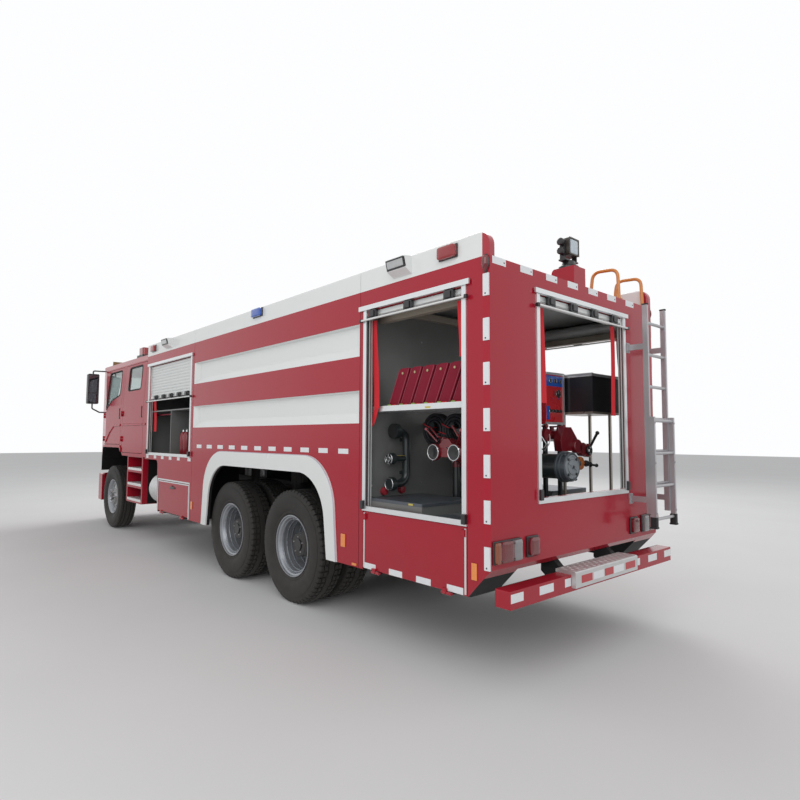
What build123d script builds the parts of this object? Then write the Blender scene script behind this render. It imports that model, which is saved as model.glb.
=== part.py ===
from build123d import *
import os
from math import atan2, cos, degrees, hypot, pi, radians, sin

# Six-wheel water-tank fire truck with a crew cab. Millimetres, +X to the front,
# +Y to the left side, +Z up. Stations along X are measured from the rear wall and
# moved once, on export, so that the origin lies under the middle of the truck.

# Overall size
REAR_END = -246            # rear face of the lower ladder
FRONT_END = 10360          # front face of the bumper
MIDDLE = (REAR_END + FRONT_END) / 2

# Bodywork
BODY_HALF = 1225
OUTSIDE = BODY_HALF + 75   # cuts through a side wall run out to here
WALL = 35
SKIRT_Z = 560              # lower edge of the side skirts
REAR_SEAM = 1427           # joint between pump bay and tank section
FRONT_SEAM = 5047          # joint between tank section and front locker
BODY_FRONT = 6910
SEAM_GAP = 5
DECK_Z = 2920
COAMING_Z = DECK_Z + 180
COAMING_T = 75
BAY_FLOOR_Z = 1050
TANK_Z = 1340              # underside of the tank

# Wheels
TYRE_R = 562.5
TYRE_W = 300
RIM_R = 292
DUAL_PITCH = 340
DUAL_OUTER_Y = 1020
FRONT_TYRE_Y = 980
KINGPIN_Y = 770
KINGPIN_R = 20
HUB_R = 60
BORE_PLAY = 0.05
BUTT = 0.3                 # hair gap between pieces that are screwed on, not welded
REAR_AXLES_X = (2644, 4014)
FRONT_AXLE_X = 8985

# Frame
RAIL_Y = 430               # outer face of each rail
RAIL_Z = (740, 1000)
RAIL_T = 9

# Cab
CAB_HALF = 1170
CAB_REAR = 7080
CAB_FRONT = 10200
CAB_ROOF = 3030
CAB_T = 45
DOOR_GAP = 7

PLANES = {"x": Plane.YZ, "y": Plane.XZ, "z": Plane.XY}


def box(x0, x1, y0, y1, z0, z1):
    """A block between two corners."""
    size = (x1 - x0, y1 - y0, z1 - z0)
    return Pos((x0 + x1) / 2, (y0 + y1) / 2, (z0 + z1) / 2) * Box(*size)


def rod(x, y, z, axis, r, length):
    """A round bar centred on a point, along one axis."""
    turn = {"x": Rot(0, 90, 0), "y": Rot(90, 0, 0), "z": Rot(0, 0, 0)}[axis]
    return Pos(x, y, z) * turn * Cylinder(r, length)


def prism(points, axis, a, b, inset=0, r=0, soft=()):
    """An outline pulled from a to b along an axis; soft lists (corner, radius)."""
    face = make_face(Polyline(*points, close=True))
    if inset:
        face = offset(face, amount=-inset, kind=Kind.INTERSECTION)
    if r:
        face = fillet(face.vertices(), r)
    for corner, radius in soft:
        vertex = min(face.vertices(), key=lambda v: (v.X - corner[0]) ** 2 + (v.Y - corner[1]) ** 2)
        face = fillet(vertex, radius)
    plane = PLANES[axis].offset(-b if axis == "y" else a)
    return extrude(plane * face, amount=b - a, dir=plane.z_dir)


def both(shape):
    """A left-hand shape together with its mirror image on the right."""
    return shape + mirror(shape, about=Plane.XZ)


def sweep_tube(points, r, bend):
    """A bent round tube through a few points with rounded corners."""
    path = FilletPolyline(*points, radius=bend)
    start = Plane(origin=path @ 0, z_dir=path % 0)
    return sweep(start * Circle(r), path=path)


def turned(profile, x, y, z, axis="y"):
    """A profile of (radius, distance along the axis) spun round that axis."""
    face = make_face(Polyline(*[(radius, along) for radius, along in profile], close=True))
    if axis == "y":
        solid = revolve(face, Axis.Y)
    elif axis == "x":
        solid = Rot(0, 0, -90) * revolve(face, Axis.Y)
    else:
        solid = Rot(90, 0, 0) * revolve(face, Axis.Y)
    return Pos(x, y, z) * solid


def loose(*shapes):
    """Several solids kept apart in one part, as they are when screwed and not welded."""
    return Compound(children=[solid for shape in shapes for solid in shape.solids()])


def mirrored(shape):
    """The right-hand copy of a left-hand shape."""
    return mirror(shape, about=Plane.XZ)


def pair(shapes):
    """A list of left-hand pieces followed by their right-hand copies."""
    return [*shapes, *[mirrored(shape) for shape in shapes]]


def frame_bars(x0, x1, z0, z1, y0, y1, width):
    """Four extruded bars round an opening in a side wall, butted with a hair gap."""
    post = z0 + width + BUTT, z1 - width - BUTT
    return [box(x0, x1, y0, y1, z0, z0 + width), box(x0, x1, y0, y1, z1 - width, z1),
            box(x0, x0 + width, y0, y1, *post), box(x1 - width, x1, y0, y1, *post)]


parts = {}

# Chassis: two channel rails, cross members, and outriggers below the body
RAIL_FRONT = 10050
RAIL_FLANGE = 80
rail = (box(WALL + 3, RAIL_FRONT, RAIL_Y - RAIL_FLANGE, RAIL_Y, *RAIL_Z)
        - box(0, RAIL_FRONT + 20, RAIL_Y - RAIL_FLANGE - 10, RAIL_Y - RAIL_T,
              RAIL_Z[0] + RAIL_T, RAIL_Z[1] - RAIL_T))
frame = [rail, mirrored(rail)]
MEMBER_Y = RAIL_Y - RAIL_T - BUTT
MEMBER_Z = RAIL_Z[1] - RAIL_T - BUTT
for x in (90, 1500, 2050, 3329, 4750, 5900, 7300, 9895):
    frame.append(box(x - 40, x + 40, -MEMBER_Y, MEMBER_Y, MEMBER_Z - 85, MEMBER_Z)
                 - box(x - 31, x + 41, -MEMBER_Y - 1, MEMBER_Y + 1, MEMBER_Z - 76, MEMBER_Z - 9))
outer_y = RAIL_Y + BUTT
brackets = []
for x in (5300, 6100):
    brackets.append(box(x - 35, x + 35, outer_y, 590, 900, 990)
                    - box(x - 26, x + 26, outer_y - 1, 591, 909, 991))
for x in (*REAR_AXLES_X, FRONT_AXLE_X):
    brackets.append(box(x - 45, x + 45, outer_y, RAIL_Y + 55, 800, 860))
for x, top in ((1600, TANK_Z), (2850, TANK_Z), (3800, TANK_Z), (4860, TANK_Z), (7300, 1330), (9900, 1010)):
    brackets.append(box(x - 50, x + 50, RAIL_Y - RAIL_FLANGE, RAIL_Y, RAIL_Z[1] + BUTT, top - BUTT))
parts["chassis_frame"] = loose(*frame, *pair(brackets))

# Engine as a plain block, gearbox and the propeller shaft to the two rear axles
drive = box(8480, 9560, -300, 300, 700, 1340)
drive = chamfer(drive.edges().filter_by(Axis.X), 60)
drive += turned([(0, -560), (120, -560), (150, -380), (210, 20), (0, 20)], 8480, 0, 850, "x")
shaft_run = (7930 - 4277, 850 - 622)
shaft_tilt = atan2(shaft_run[1], shaft_run[0])
shaft = Cylinder(45, hypot(*shaft_run))
for d in (-0.42, 0, 0.42):
    shaft += Pos(0, 0, d * hypot(*shaft_run)) * Cylinder(76, 90)
drive += Pos((7930 + 4277) / 2, 0, (850 + 622) / 2) * Rot(0, 90 - degrees(shaft_tilt), 0) * shaft
for x in (8700, 9400):
    drive += both(box(x - 50, x + 50, 290, RAIL_Y - RAIL_T, 800, 860))
parts["drive_train"] = drive

# Running gear: dropped front beam, two driven axles, leaf springs
SPRING_Y = 470
SPRING_HALF = 35
LEAF_H = 14
LEAF_GAP = 0.4
axle_z = TYRE_R
beam = box(FRONT_AXLE_X - 45, FRONT_AXLE_X + 45, -560, 560, axle_z - 130, axle_z - 20)
for x0, x1 in ((-60, -14), (14, 60)):
    beam -= both(box(FRONT_AXLE_X + x0, FRONT_AXLE_X + x1, -1, 561, axle_z - 108, axle_z - 42))
beam += both(prism([(550, axle_z - 130), (KINGPIN_Y - 30, axle_z - 60), (KINGPIN_Y, axle_z - 60),
                    (KINGPIN_Y, axle_z + 55), (KINGPIN_Y - 30, axle_z + 55), (550, axle_z - 20)],
                   "x", FRONT_AXLE_X - 42, FRONT_AXLE_X + 42))
beam += both(rod(FRONT_AXLE_X, KINGPIN_Y, axle_z, "z", 42, 120))
beam -= both(rod(FRONT_AXLE_X, KINGPIN_Y, axle_z, "z", KINGPIN_R + BORE_PLAY, 200))
axles = [beam]
SEAT_HALF = 60             # half length of the block that carries a spring on its axle
for x in REAR_AXLES_X:
    axle = rod(x, 0, axle_z, "y", 75, 900) + both(rod(x, 700, axle_z, "y", HUB_R, 560))
    axle += Pos(x, 0, axle_z) * Sphere(190) + rod(x + 180, 0, axle_z + 60, "x", 85, 160)
    axles.append(axle)
springs = []
for x in REAR_AXLES_X:
    block = box(x - SEAT_HALF, x + SEAT_HALF, SPRING_Y - 40, SPRING_Y + 40, axle_z - 40, axle_z + 95 - BUTT)
    springs.append(block - rod(x, SPRING_Y, axle_z, "y", 75 + BUTT, 200))
MID_X = sum(REAR_AXLES_X) / 2


def leaves(x, z, halves):
    """A leaf spring: flat leaves of shrinking half length, stacked upwards from z."""
    return [box(x - half, x + half, SPRING_Y - SPRING_HALF, SPRING_Y + SPRING_HALF,
                z + k * LEAF_H, z + (k + 1) * LEAF_H - LEAF_GAP) for k, half in enumerate(halves)]


REAR_LEAVES = (760, 690, 610, 520, 420, 320)
FRONT_LEAVES = (780, 640, 500, 360, 220)
springs += leaves(MID_X, axle_z + 95, REAR_LEAVES) + leaves(FRONT_AXLE_X, axle_z + 20, FRONT_LEAVES)
trunnion_z = axle_z + 95 + len(REAR_LEAVES) * LEAF_H
springs.append(box(MID_X - 70, MID_X + 70, SPRING_Y - SPRING_HALF, SPRING_Y + SPRING_HALF,
                   trunnion_z, axle_z + 270))
springs.append(rod(MID_X, SPRING_Y + SPRING_HALF + 20, axle_z + 225, "y", 60, 40 - BUTT))
springs.append(box(FRONT_AXLE_X - SEAT_HALF, FRONT_AXLE_X + SEAT_HALF, SPRING_Y - SPRING_HALF,
                   SPRING_Y + SPRING_HALF, axle_z - 20 + BUTT, axle_z + 20 - BUTT))
for x in (FRONT_AXLE_X - FRONT_LEAVES[0] + 20, FRONT_AXLE_X + FRONT_LEAVES[0] - 20):
    top, foot = RAIL_Z[0] - BUTT, axle_z + 20 + LEAF_H
    springs.append(prism([(x - 60, top), (x + 60, top), (x + 25, foot), (x - 25, foot)], "y",
                         RAIL_Y - 60, SPRING_Y + 15))
parts["axles_and_springs"] = loose(*axles, *pair(springs))

# Wheels. Tyres are spun from one section; rims are deep dished behind and domed in front
half_w = TYRE_W / 2
BEAD_W = 103
TYRE_SECTION = [(RIM_R, -BEAD_W), (RIM_R + 18, -BEAD_W), (RIM_R + 55, -half_w + 6), (430, -half_w),
                (505, -half_w + 10),
                (TYRE_R - 14, -half_w + 24), (TYRE_R, -half_w + 44), (TYRE_R, half_w - 44),
                (TYRE_R - 14, half_w - 24), (505, half_w - 10), (430, half_w), (RIM_R + 55, half_w - 6),
                (RIM_R + 18, BEAD_W), (RIM_R, BEAD_W)]
WEB = -DUAL_PITCH / 2
rim_outer = [(HUB_R + BORE_PLAY, 40), (112, 40), (118, 0), (150, WEB + 60), (170, WEB + 14), (236, WEB + 10),
             (252, WEB + 40), (RIM_R - 34, -40), (RIM_R - 28, 60), (RIM_R - 12, 98), (RIM_R + 2, 106),
             (RIM_R + 6, 122), (RIM_R + 16, 122), (RIM_R + 14, 112), (RIM_R - 0.5, 104), (RIM_R - 12, 60),
             (RIM_R - 14, -60), (RIM_R - 0.5, -104), (RIM_R + 14, -112), (RIM_R + 14, -124),
             (RIM_R - 4, -124), (254, WEB), (254, WEB - 40), (RIM_R - 4, WEB - 46),
             (RIM_R + 14, WEB - 46), (RIM_R + 14, WEB - 58), (RIM_R - 0.5, WEB - 66),
             (RIM_R - 14, WEB - 110), (RIM_R - 12, WEB - 230), (RIM_R - 0.5, WEB - 274),
             (RIM_R + 14, WEB - 282), (RIM_R + 14, WEB - 292), (RIM_R - 4, WEB - 292),
             (RIM_R - 28, WEB - 230), (RIM_R - 30, WEB - 90), (236, WEB - 50), (236, WEB - 4),
             (HUB_R + BORE_PLAY, WEB - 4)]
rim_front = [(40 + BORE_PLAY, 60), (40 + BORE_PLAY, -40), (150, -40), (150, 30), (232, 44), (256, 20),
             (RIM_R - 30, -70), (RIM_R - 12, -98), (RIM_R + 14, -122), (RIM_R + 14, -112),
             (RIM_R - 0.5, -104),
             (RIM_R - 14, -60), (RIM_R - 12, 60), (RIM_R - 0.5, 104), (RIM_R + 14, 112), (RIM_R + 16, 122),
             (RIM_R + 6, 122), (RIM_R - 12, 98), (268, 70), (236, 62), (150, 84), (128, 118), (90, 128),
             (40 + BORE_PLAY, 128)]
HAND_HOLES = 8
STUDS = 10
for side, sign in (("left", 1), ("right", -1)):
    turn = Rot(0, 0, 0) if sign > 0 else Rot(0, 0, 180)
    for name, x, y in (("front", FRONT_AXLE_X, FRONT_TYRE_Y), ("mid", REAR_AXLES_X[1], DUAL_OUTER_Y),
                       ("rear", REAR_AXLES_X[0], DUAL_OUTER_Y)):
        tyre = turned(TYRE_SECTION, 0, 0, 0)
        if name == "front":
            rim = turned(rim_front, 0, 0, 0)
            holes, where, reach = 198, 50, 80
            studs, stud_y = 120, 100
        else:
            tyre += Pos(0, -DUAL_PITCH, 0) * tyre
            rim = turned(rim_outer, 0, 0, 0)
            holes, where, reach = 203, WEB, 60
            studs, stud_y = 135, WEB + 58
        for k in range(HAND_HOLES):
            a = 2 * pi * (k + 0.5) / HAND_HOLES
            rim -= rod(holes * cos(a), where, holes * sin(a), "y", 26, reach)
        for k in range(STUDS):
            a = 2 * pi * k / STUDS
            rim += rod(studs * cos(a), stud_y, studs * sin(a), "y", 13, 40)
        where_to = Pos(x, sign * y, axle_z) * turn
        parts[f"tyre_{name}_{side}"] = where_to * tyre
        parts[f"rim_{name}_{side}"] = where_to * rim

# Steering knuckles: fork over the beam end, kingpin, stub axle
for side, sign in (("left", 1), ("right", -1)):
    lug = 66
    knuckle = rod(0, 0, 0, "z", KINGPIN_R, 230)
    for z in (lug + 20, -lug - 20):
        knuckle += rod(0, 0, z, "z", 42, 40) + box(-42, 42, 0, 118, z - 20, z + 20)
    knuckle += box(-50, 50, 50, 118, -lug - 40, lug + 40)
    knuckle += rod(0, 118 + 92, 0, "y", 40, 184) + rod(0, 128, 0, "y", 120, 22)
    knuckle -= box(-60, 60, -60, 50, -lug, lug) - rod(0, 0, 0, "z", KINGPIN_R, 300)
    parts[f"knuckle_{side}"] = Pos(FRONT_AXLE_X, sign * KINGPIN_Y, axle_z) * (
        Rot(0, 0, 0) if sign > 0 else Rot(0, 0, 180)) * knuckle

# Pump bay: shell with side and rear openings, chamfered tail, pocket behind each step flap
BAY_OPEN = (240, 1330, 1075, DECK_Z - 180)    # side opening x0, x1, z0, z1
TAIL_OPEN = (640, 1220, DECK_Z - 180)         # rear opening half width, z0, z1
BAY_CEILING = DECK_Z - 60
FLAP = (206, 1362, 566, 1044)
BAY_END = REAR_SEAM - SEAM_GAP / 2
TAIL = [(0, 777), (206, SKIRT_Z), (BAY_END, SKIRT_Z), (BAY_END, DECK_Z), (0, DECK_Z)]
CORNER = (55, 12)                          # the tail corner strip leans in by 12 over 55
CORNER_CUT = [(-20, BODY_HALF - CORNER[1] * (1 + 20 / CORNER[0])), (CORNER[0], BODY_HALF),
              (CORNER[0], BODY_HALF + 40), (-20, BODY_HALF + 40)]
corner_cut = both(prism(CORNER_CUT, "z", 500, COAMING_Z + 50))
bay = prism(TAIL, "y", -BODY_HALF, BODY_HALF) - corner_cut
bay -= box(WALL + 3, 1388, -BODY_HALF + WALL, BODY_HALF - WALL, BAY_FLOOR_Z, BAY_CEILING)
bay -= box(WALL + 3, 1500, -880, 880, 500, RAIL_Z[1])
bay -= box(BAY_OPEN[0], BAY_OPEN[1], -OUTSIDE, OUTSIDE, BAY_OPEN[2], BAY_OPEN[3])
bay -= box(-1, WALL + 4, -TAIL_OPEN[0], TAIL_OPEN[0], TAIL_OPEN[1], TAIL_OPEN[2])
bay -= both(box(230, 1340, BODY_HALF - 320, OUTSIDE, 590, 1020))
bay -= both(box(FLAP[0] - 6, FLAP[1] + 6, BODY_HALF - WALL - 6, OUTSIDE, 545, FLAP[3] + 6))
LAMP_PLINTH = (0, 205, -30, 143, DECK_Z + 150)
bay += prism([(LAMP_PLINTH[0], DECK_Z - 5), (LAMP_PLINTH[1] + 30, DECK_Z - 5),
              (LAMP_PLINTH[1], LAMP_PLINTH[4]), (LAMP_PLINTH[0], LAMP_PLINTH[4])],
             "y", LAMP_PLINTH[2], LAMP_PLINTH[3], soft=[((LAMP_PLINTH[1], LAMP_PLINTH[4]), 30)])
parts["pump_bay"] = bay

# Tank section: closed, with two pressed channels each side, wheel arches and liners
CHANNELS = tuple((DECK_Z - d, DECK_Z - d + 285) for d in (1140, 560))   # lower and upper edges
CHANNEL_D = 50
x0, x1 = BAY_END + SEAM_GAP, FRONT_SEAM - SEAM_GAP / 2
tank = box(x0, x1, -BODY_HALF, BODY_HALF, TANK_Z, DECK_Z)
for z0, z1 in CHANNELS:
    mouth = Plane.XZ.offset(-BODY_HALF) * Pos((x0 + x1) / 2, (z0 + z1) / 2)
    mouth *= Rectangle(x1 - x0 - 12, z1 - z0)
    floor = Plane.XZ.offset(CHANNEL_D - BODY_HALF) * Pos((x0 + x1) / 2 - 20, z1 - 105)
    floor *= Rectangle(x1 - x0 - 150, 180)
    tank -= both(loft([mouth, floor]))
ARCH_MID, ARCH_HALF, ARCH_TOP = 3205, 1350, 1320
TRIM_FOOT, TRIM_TOP = 122, 170


def arch(half, corner, top, r):
    """Wheel-arch outline standing on the skirt edge, with two rounded shoulders."""
    m = ARCH_MID
    pts = [(m - half, SKIRT_Z), (m - corner, top), (m + corner, top), (m + half, SKIRT_Z)]
    return pts, [((m - corner, top), r), ((m + corner, top), r)]


INNER_ARCH = arch(ARCH_HALF, ARCH_HALF - 125, ARCH_TOP, 455)
OUTER_ARCH = arch(ARCH_HALF + TRIM_FOOT, ARCH_HALF + 35, ARCH_TOP + TRIM_TOP, 500)
skirt = box(x0, x1, BODY_HALF - WALL, BODY_HALF, SKIRT_Z, TANK_Z + 1)
arch_cut = prism([(p[0], p[1] - (200 if p[1] == SKIRT_Z else 0)) for p in INNER_ARCH[0]], "y",
                 BODY_HALF - 125, OUTSIDE, soft=INNER_ARCH[1])
skirt -= arch_cut
for a, b in ((x0, x0 + 20), (x1 - 20, x1)):
    skirt += box(a, b, 560, BODY_HALF, SKIRT_Z, TANK_Z + 1)
tank += both(skirt)
for x in (2050, 3900):
    tank += rod(x, 0, DECK_Z + 30, "z", 260, 60) + rod(x, 0, DECK_Z + 66, "z", 285, 14)
parts["tank_body"] = tank

trim = prism(OUTER_ARCH[0], "y", BODY_HALF, BODY_HALF + 18, soft=OUTER_ARCH[1])
trim = chamfer(trim.faces().sort_by(Axis.Y)[-1].edges().filter_by(lambda e: e.center().Z > SKIRT_Z + 1), 8)
parts["arch_trims"] = both(trim - arch_cut)

# Front locker: two lockers back to back over a notched skirt with a lower compartment
LOCKER_OPEN = (5140, 6770, 1420, DECK_Z - 170)
SKIRT_FRONT = 6300
LOW_DOOR = (5118, 6256, 576, 1024)
NOTCH_Z = 1313
x0 = FRONT_SEAM + SEAM_GAP / 2
locker = prism([(x0, SKIRT_Z), (SKIRT_FRONT, SKIRT_Z), (SKIRT_FRONT + 40, NOTCH_Z), (BODY_FRONT, NOTCH_Z),
                (BODY_FRONT, DECK_Z), (x0, DECK_Z)], "y", -BODY_HALF, BODY_HALF,
               soft=[((SKIRT_FRONT + 40, NOTCH_Z), 70), ((SKIRT_FRONT, SKIRT_Z), 40)])
for y0, y1 in ((20, BODY_HALF - WALL), (-BODY_HALF + WALL, -20)):
    locker -= box(x0 + WALL, BODY_FRONT - WALL, y0, y1, 1390, DECK_Z - 70)
locker -= both(box(LOCKER_OPEN[0], LOCKER_OPEN[1], BODY_HALF - 125, OUTSIDE, LOCKER_OPEN[2], LOCKER_OPEN[3]))
locker -= box(x0 - 10, BODY_FRONT + 10, -590, 590, 500, 1340)
locker -= both(box(x0 + 30, SKIRT_FRONT - 30, 615, BODY_HALF - WALL + 1, 590, 1285))
locker -= both(box(LOW_DOOR[0] - 6, LOW_DOOR[1] + 6, BODY_HALF - WALL - 6, OUTSIDE,
                   LOW_DOOR[2] - 20, LOW_DOOR[3] + 6))
parts["locker_body"] = locker

# Grey linings of the two bays, with a chequer floor step in the pump bay
LINING_Y = BODY_HALF - 45
STEP_FLOOR_Z = 1150
floor_z = BAY_FLOOR_Z + 6
linings = [box(1364, 1388, -LINING_Y, LINING_Y, BAY_FLOOR_Z, BAY_CEILING),
           box(WALL + 3, 1364 - BUTT, -LINING_Y, LINING_Y, BAY_FLOOR_Z, floor_z),
           box(WALL + 3, 1364 - BUTT, -LINING_Y, LINING_Y, BAY_CEILING - 8, BAY_CEILING)]
locker_linings = [box(700, 1364 - BUTT, 560, LINING_Y, floor_z + BUTT, STEP_FLOOR_Z),
                  box(x0 + WALL, BODY_FRONT - WALL, 20, LINING_Y, 1390, 1396),
                  box(x0 + WALL, BODY_FRONT - WALL, 20, LINING_Y, 2040, 2056),
                  box(5960, 5976, 20, LINING_Y, 1396 + BUTT, 2040 - BUTT)]
parts["bay_linings"] = loose(*linings, *pair(locker_linings))

# White roof coaming in three lengths each side, rounded at the tail
coaming = None
for a, b in ((0, REAR_SEAM - 2), (REAR_SEAM + 3, FRONT_SEAM - 2), (FRONT_SEAM + 3, BODY_FRONT)):
    soft = [((0, COAMING_Z), 95)] if a == 0 else []
    run = prism([(a, DECK_Z), (b, DECK_Z), (b, COAMING_Z), (a, COAMING_Z)], "y",
                BODY_HALF - COAMING_T, BODY_HALF, soft=soft)
    run = fillet(run.edges().filter_by(Axis.X).group_by(Axis.Z)[-1], 14)
    coaming = run if coaming is None else coaming + run
parts["roof_coamings"] = both(coaming) - corner_cut

# Aluminium trims round every opening: butted bars, with a rain gutter over each
PROUD = BODY_HALF + 12
GUTTER = 14                # the gutter stands this far off the trim
BAY_HEAD, LOCKER_HEAD, TAIL_HEAD = BAY_OPEN[3] + 44, LOCKER_OPEN[3] + 40, TAIL_OPEN[2] + 40
bars = frame_bars(200, 1370, 1048, BAY_HEAD, BODY_HALF, PROUD, 40)
bars += frame_bars(5100, 6810, 1380, LOCKER_HEAD, BODY_HALF, PROUD, 40)
bars += [box(160, REAR_SEAM - 5, PROUD + BUTT, PROUD + GUTTER, BAY_HEAD - 40, BAY_HEAD),
         box(5070, 6840, PROUD + BUTT, PROUD + GUTTER, LOCKER_HEAD - 38, LOCKER_HEAD)]
bars += [box(5090, 6284, BODY_HALF, BODY_HALF + 5, 1030, 1050),
         box(5090, 5112, BODY_HALF, BODY_HALF + 5, SKIRT_Z + 10, 1030 - BUTT),
         box(6262, 6284, BODY_HALF, BODY_HALF + 5, SKIRT_Z + 10, 1030 - BUTT)]
tail_bars = [box(-12, 0, -680, 680, 1180, TAIL_OPEN[1]), box(-12, 0, -680, 680, TAIL_OPEN[2], TAIL_HEAD),
             box(-26, -12 - BUTT, -710, 710, TAIL_HEAD - 36, TAIL_HEAD)]
for y in (-680, TAIL_OPEN[0]):
    tail_bars.append(box(-12, 0, y, y + 40, TAIL_OPEN[1] + BUTT, TAIL_OPEN[2] - BUTT))
parts["opening_trims"] = loose(*pair(bars), *tail_bars)

# Roller shutters: guide channels, drum on two end plates, slatted curtain, bottom rail
SLAT = 42.6
TRACK_HALF = 16            # half depth of a guide channel
TRACK_W = 21
TRACK_SLOT = 9             # the slot in a channel starts this far from the jamb


def shutter(width, drop, rows, seat):
    """A raised shutter in local XZ, as loose pieces.

    Rounded slats hang down to a bottom rail, and the drum sits behind the head between
    two end plates that reach forward by seat to the wall."""
    edge = [(0, 0)]
    for k in range(rows):
        z = -k * SLAT
        edge += [(5, z - 4), (7, z - SLAT / 2), (5, z - SLAT + 4), (1, z - SLAT)]
    edge += [(-5, -rows * SLAT), (-5, 0)]
    curtain = prism(edge, "x", -width / 2 + TRACK_SLOT + 2, width / 2 - TRACK_SLOT - 2)
    rail = prism([(-5, -drop), (6, -drop), (16, -drop + 8), (12, -drop + 46), (-5, -drop + 46)], "x",
                 -width / 2 + TRACK_W + 3, width / 2 - TRACK_W - 3)
    head = rod(0, -90, 30, "x", 70, width - 58 - 2 * BUTT)
    plates = [box(x - 3, x + 3, -150, -seat, -30, 95) for x in (width / 2 - 26, -width / 2 + 26)]
    return [curtain + rail, head, *plates]


def track(x0, x1, y, z0, z1, mouth):
    """A guide channel standing in a jamb, its slot open towards mouth, along X."""
    slot = (x0 + TRACK_SLOT, x1 + 1) if mouth > 0 else (x0 - 1, x1 - TRACK_SLOT)
    channel = box(x0, x1, y - TRACK_HALF, y + TRACK_HALF, z0, z1)
    return channel - box(*slot, y - 5.5, y + 7.5, z0 - 1, z1 + 1)


SHUTTER_Y = BODY_HALF - 25    # plane of the side curtains
TAIL_SHUTTER_X = 20           # plane of the tail curtain
side_seat = SHUTTER_Y - (BODY_HALF - WALL) + BUTT
pieces = []
for (x0, x1, z0, z1), drop, rows in ((BAY_OPEN, 50, 1), (LOCKER_OPEN, 512, 11)):
    place = Pos((x0 + x1) / 2, SHUTTER_Y, z1 - 4)
    pieces += [place * piece for piece in shutter(x1 - x0, drop, rows, side_seat)]
    pieces.append(track(x0 + BUTT, x0 + TRACK_W, SHUTTER_Y, z0 + BUTT, z1 - BUTT, 1))
    pieces.append(track(x1 - TRACK_W, x1 - BUTT, SHUTTER_Y, z0 + BUTT, z1 - BUTT, -1))
half, z0, z1 = TAIL_OPEN
tail_place = Pos(TAIL_SHUTTER_X, 0, z1 - 4) * Rot(0, 0, 90)
tail_shutter = [tail_place * piece for piece in shutter(2 * half, 50, 1, WALL + 3 + BUTT - TAIL_SHUTTER_X)]
tail_track = Rot(0, 0, 90) * track(half - TRACK_W, half - BUTT, -TAIL_SHUTTER_X, z0 + BUTT, z1 - BUTT, -1)
tail_shutter += pair([tail_track])
parts["roller_shutters"] = loose(*pair(pieces), *tail_shutter)

# Hinges: a bored lug on the fixed side, a lug with a pin on the moving side
PIN_R = 6
LUG_R = 11


def hinge_lugs(point, axis, to_fixed, to_moving, length=44):
    """Two lugs on one axis; each is joined to its panel by a short strap."""
    x, y, z = point
    half = {"x": (1, 0, 0), "z": (0, 0, 1)}[axis]
    low = tuple(c - h * (length / 2 + 3) for c, h in zip(point, half))
    high = tuple(c + h * (length / 2 + 3) for c, h in zip(point, half))

    def strap(centre, reach):
        lo = [min(c, c + d) for c, d in zip(centre, reach)]
        hi = [max(c, c + d) for c, d in zip(centre, reach)]
        for n in range(3):
            if half[n]:
                lo[n], hi[n] = centre[n] - length / 2, centre[n] + length / 2
            elif hi[n] - lo[n] < 10:
                lo[n], hi[n] = centre[n] - 5, centre[n] + 5
        return box(lo[0], hi[0], lo[1], hi[1], lo[2], hi[2])

    hollow = rod(*low, axis, PIN_R + BORE_PLAY, length + 2)
    fixed = rod(*low, axis, LUG_R, length) + strap(low, to_fixed) - hollow
    moving = rod(*high, axis, LUG_R, length) + strap(high, to_moving)
    pin_mid = tuple(c + h * -length / 2 for c, h in zip(point, half))
    moving += rod(*pin_mid, axis, PIN_R, length)
    moving += rod(*point, axis, PIN_R, 20)
    return fixed, moving


# Step flaps behind and low skirt doors in front, both dropping on a bottom hinge
DROP_AXIS = (BODY_HALF + 14, SKIRT_Z + 2)
for name, span, host in (("step_flap", FLAP, "pump_bay"), ("skirt_door", LOW_DOOR, "locker_body")):
    x0, x1, z0, z1 = span
    panel = box(x0, x1, BODY_HALF - WALL, BODY_HALF, z0 + 6, z1)
    panel = fillet(panel.faces().sort_by(Axis.Y)[-1].edges(), 5)
    panel -= box(x0 + 40, x1 - 40, BODY_HALF - WALL - 1, BODY_HALF - 14, z0 + 50, z1 - 40)
    if name == "skirt_door":
        mid = (x0 + x1) / 2
        grip = box(mid - 55, mid + 55, BODY_HALF - 12, BODY_HALF + 1, z1 - 90, z1 - 50)
        panel -= fillet(grip.edges().filter_by(Axis.Y), 18)
        panel += rod(mid, BODY_HALF - 7.5, z1 - 70, "x", 5, 114)
    else:
        for x in (x0 + 26, x1 - 26):
            panel += box(x - 16, x + 16, BODY_HALF, BODY_HALF + 16, z1 - 70, z1 - 20)
    for x in (x0 + 180, x1 - 180):
        fixed, moving = hinge_lugs((x, *DROP_AXIS), "x", (0, -40, 0), (0, 0, 30))
        moving += box(x + 3, x + 47, BODY_HALF - 2, BODY_HALF + 19, SKIRT_Z + 12, SKIRT_Z + 32)
        lug_foot = box(x - 47, x - 3, BODY_HALF - 60, BODY_HALF - 20, SKIRT_Z - 3, SKIRT_Z + 7)
        parts[host] += both(fixed + lug_foot)
        panel += moving
    parts[name + "_left"] = panel
    parts[name + "_right"] = mirrored(panel)

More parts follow.
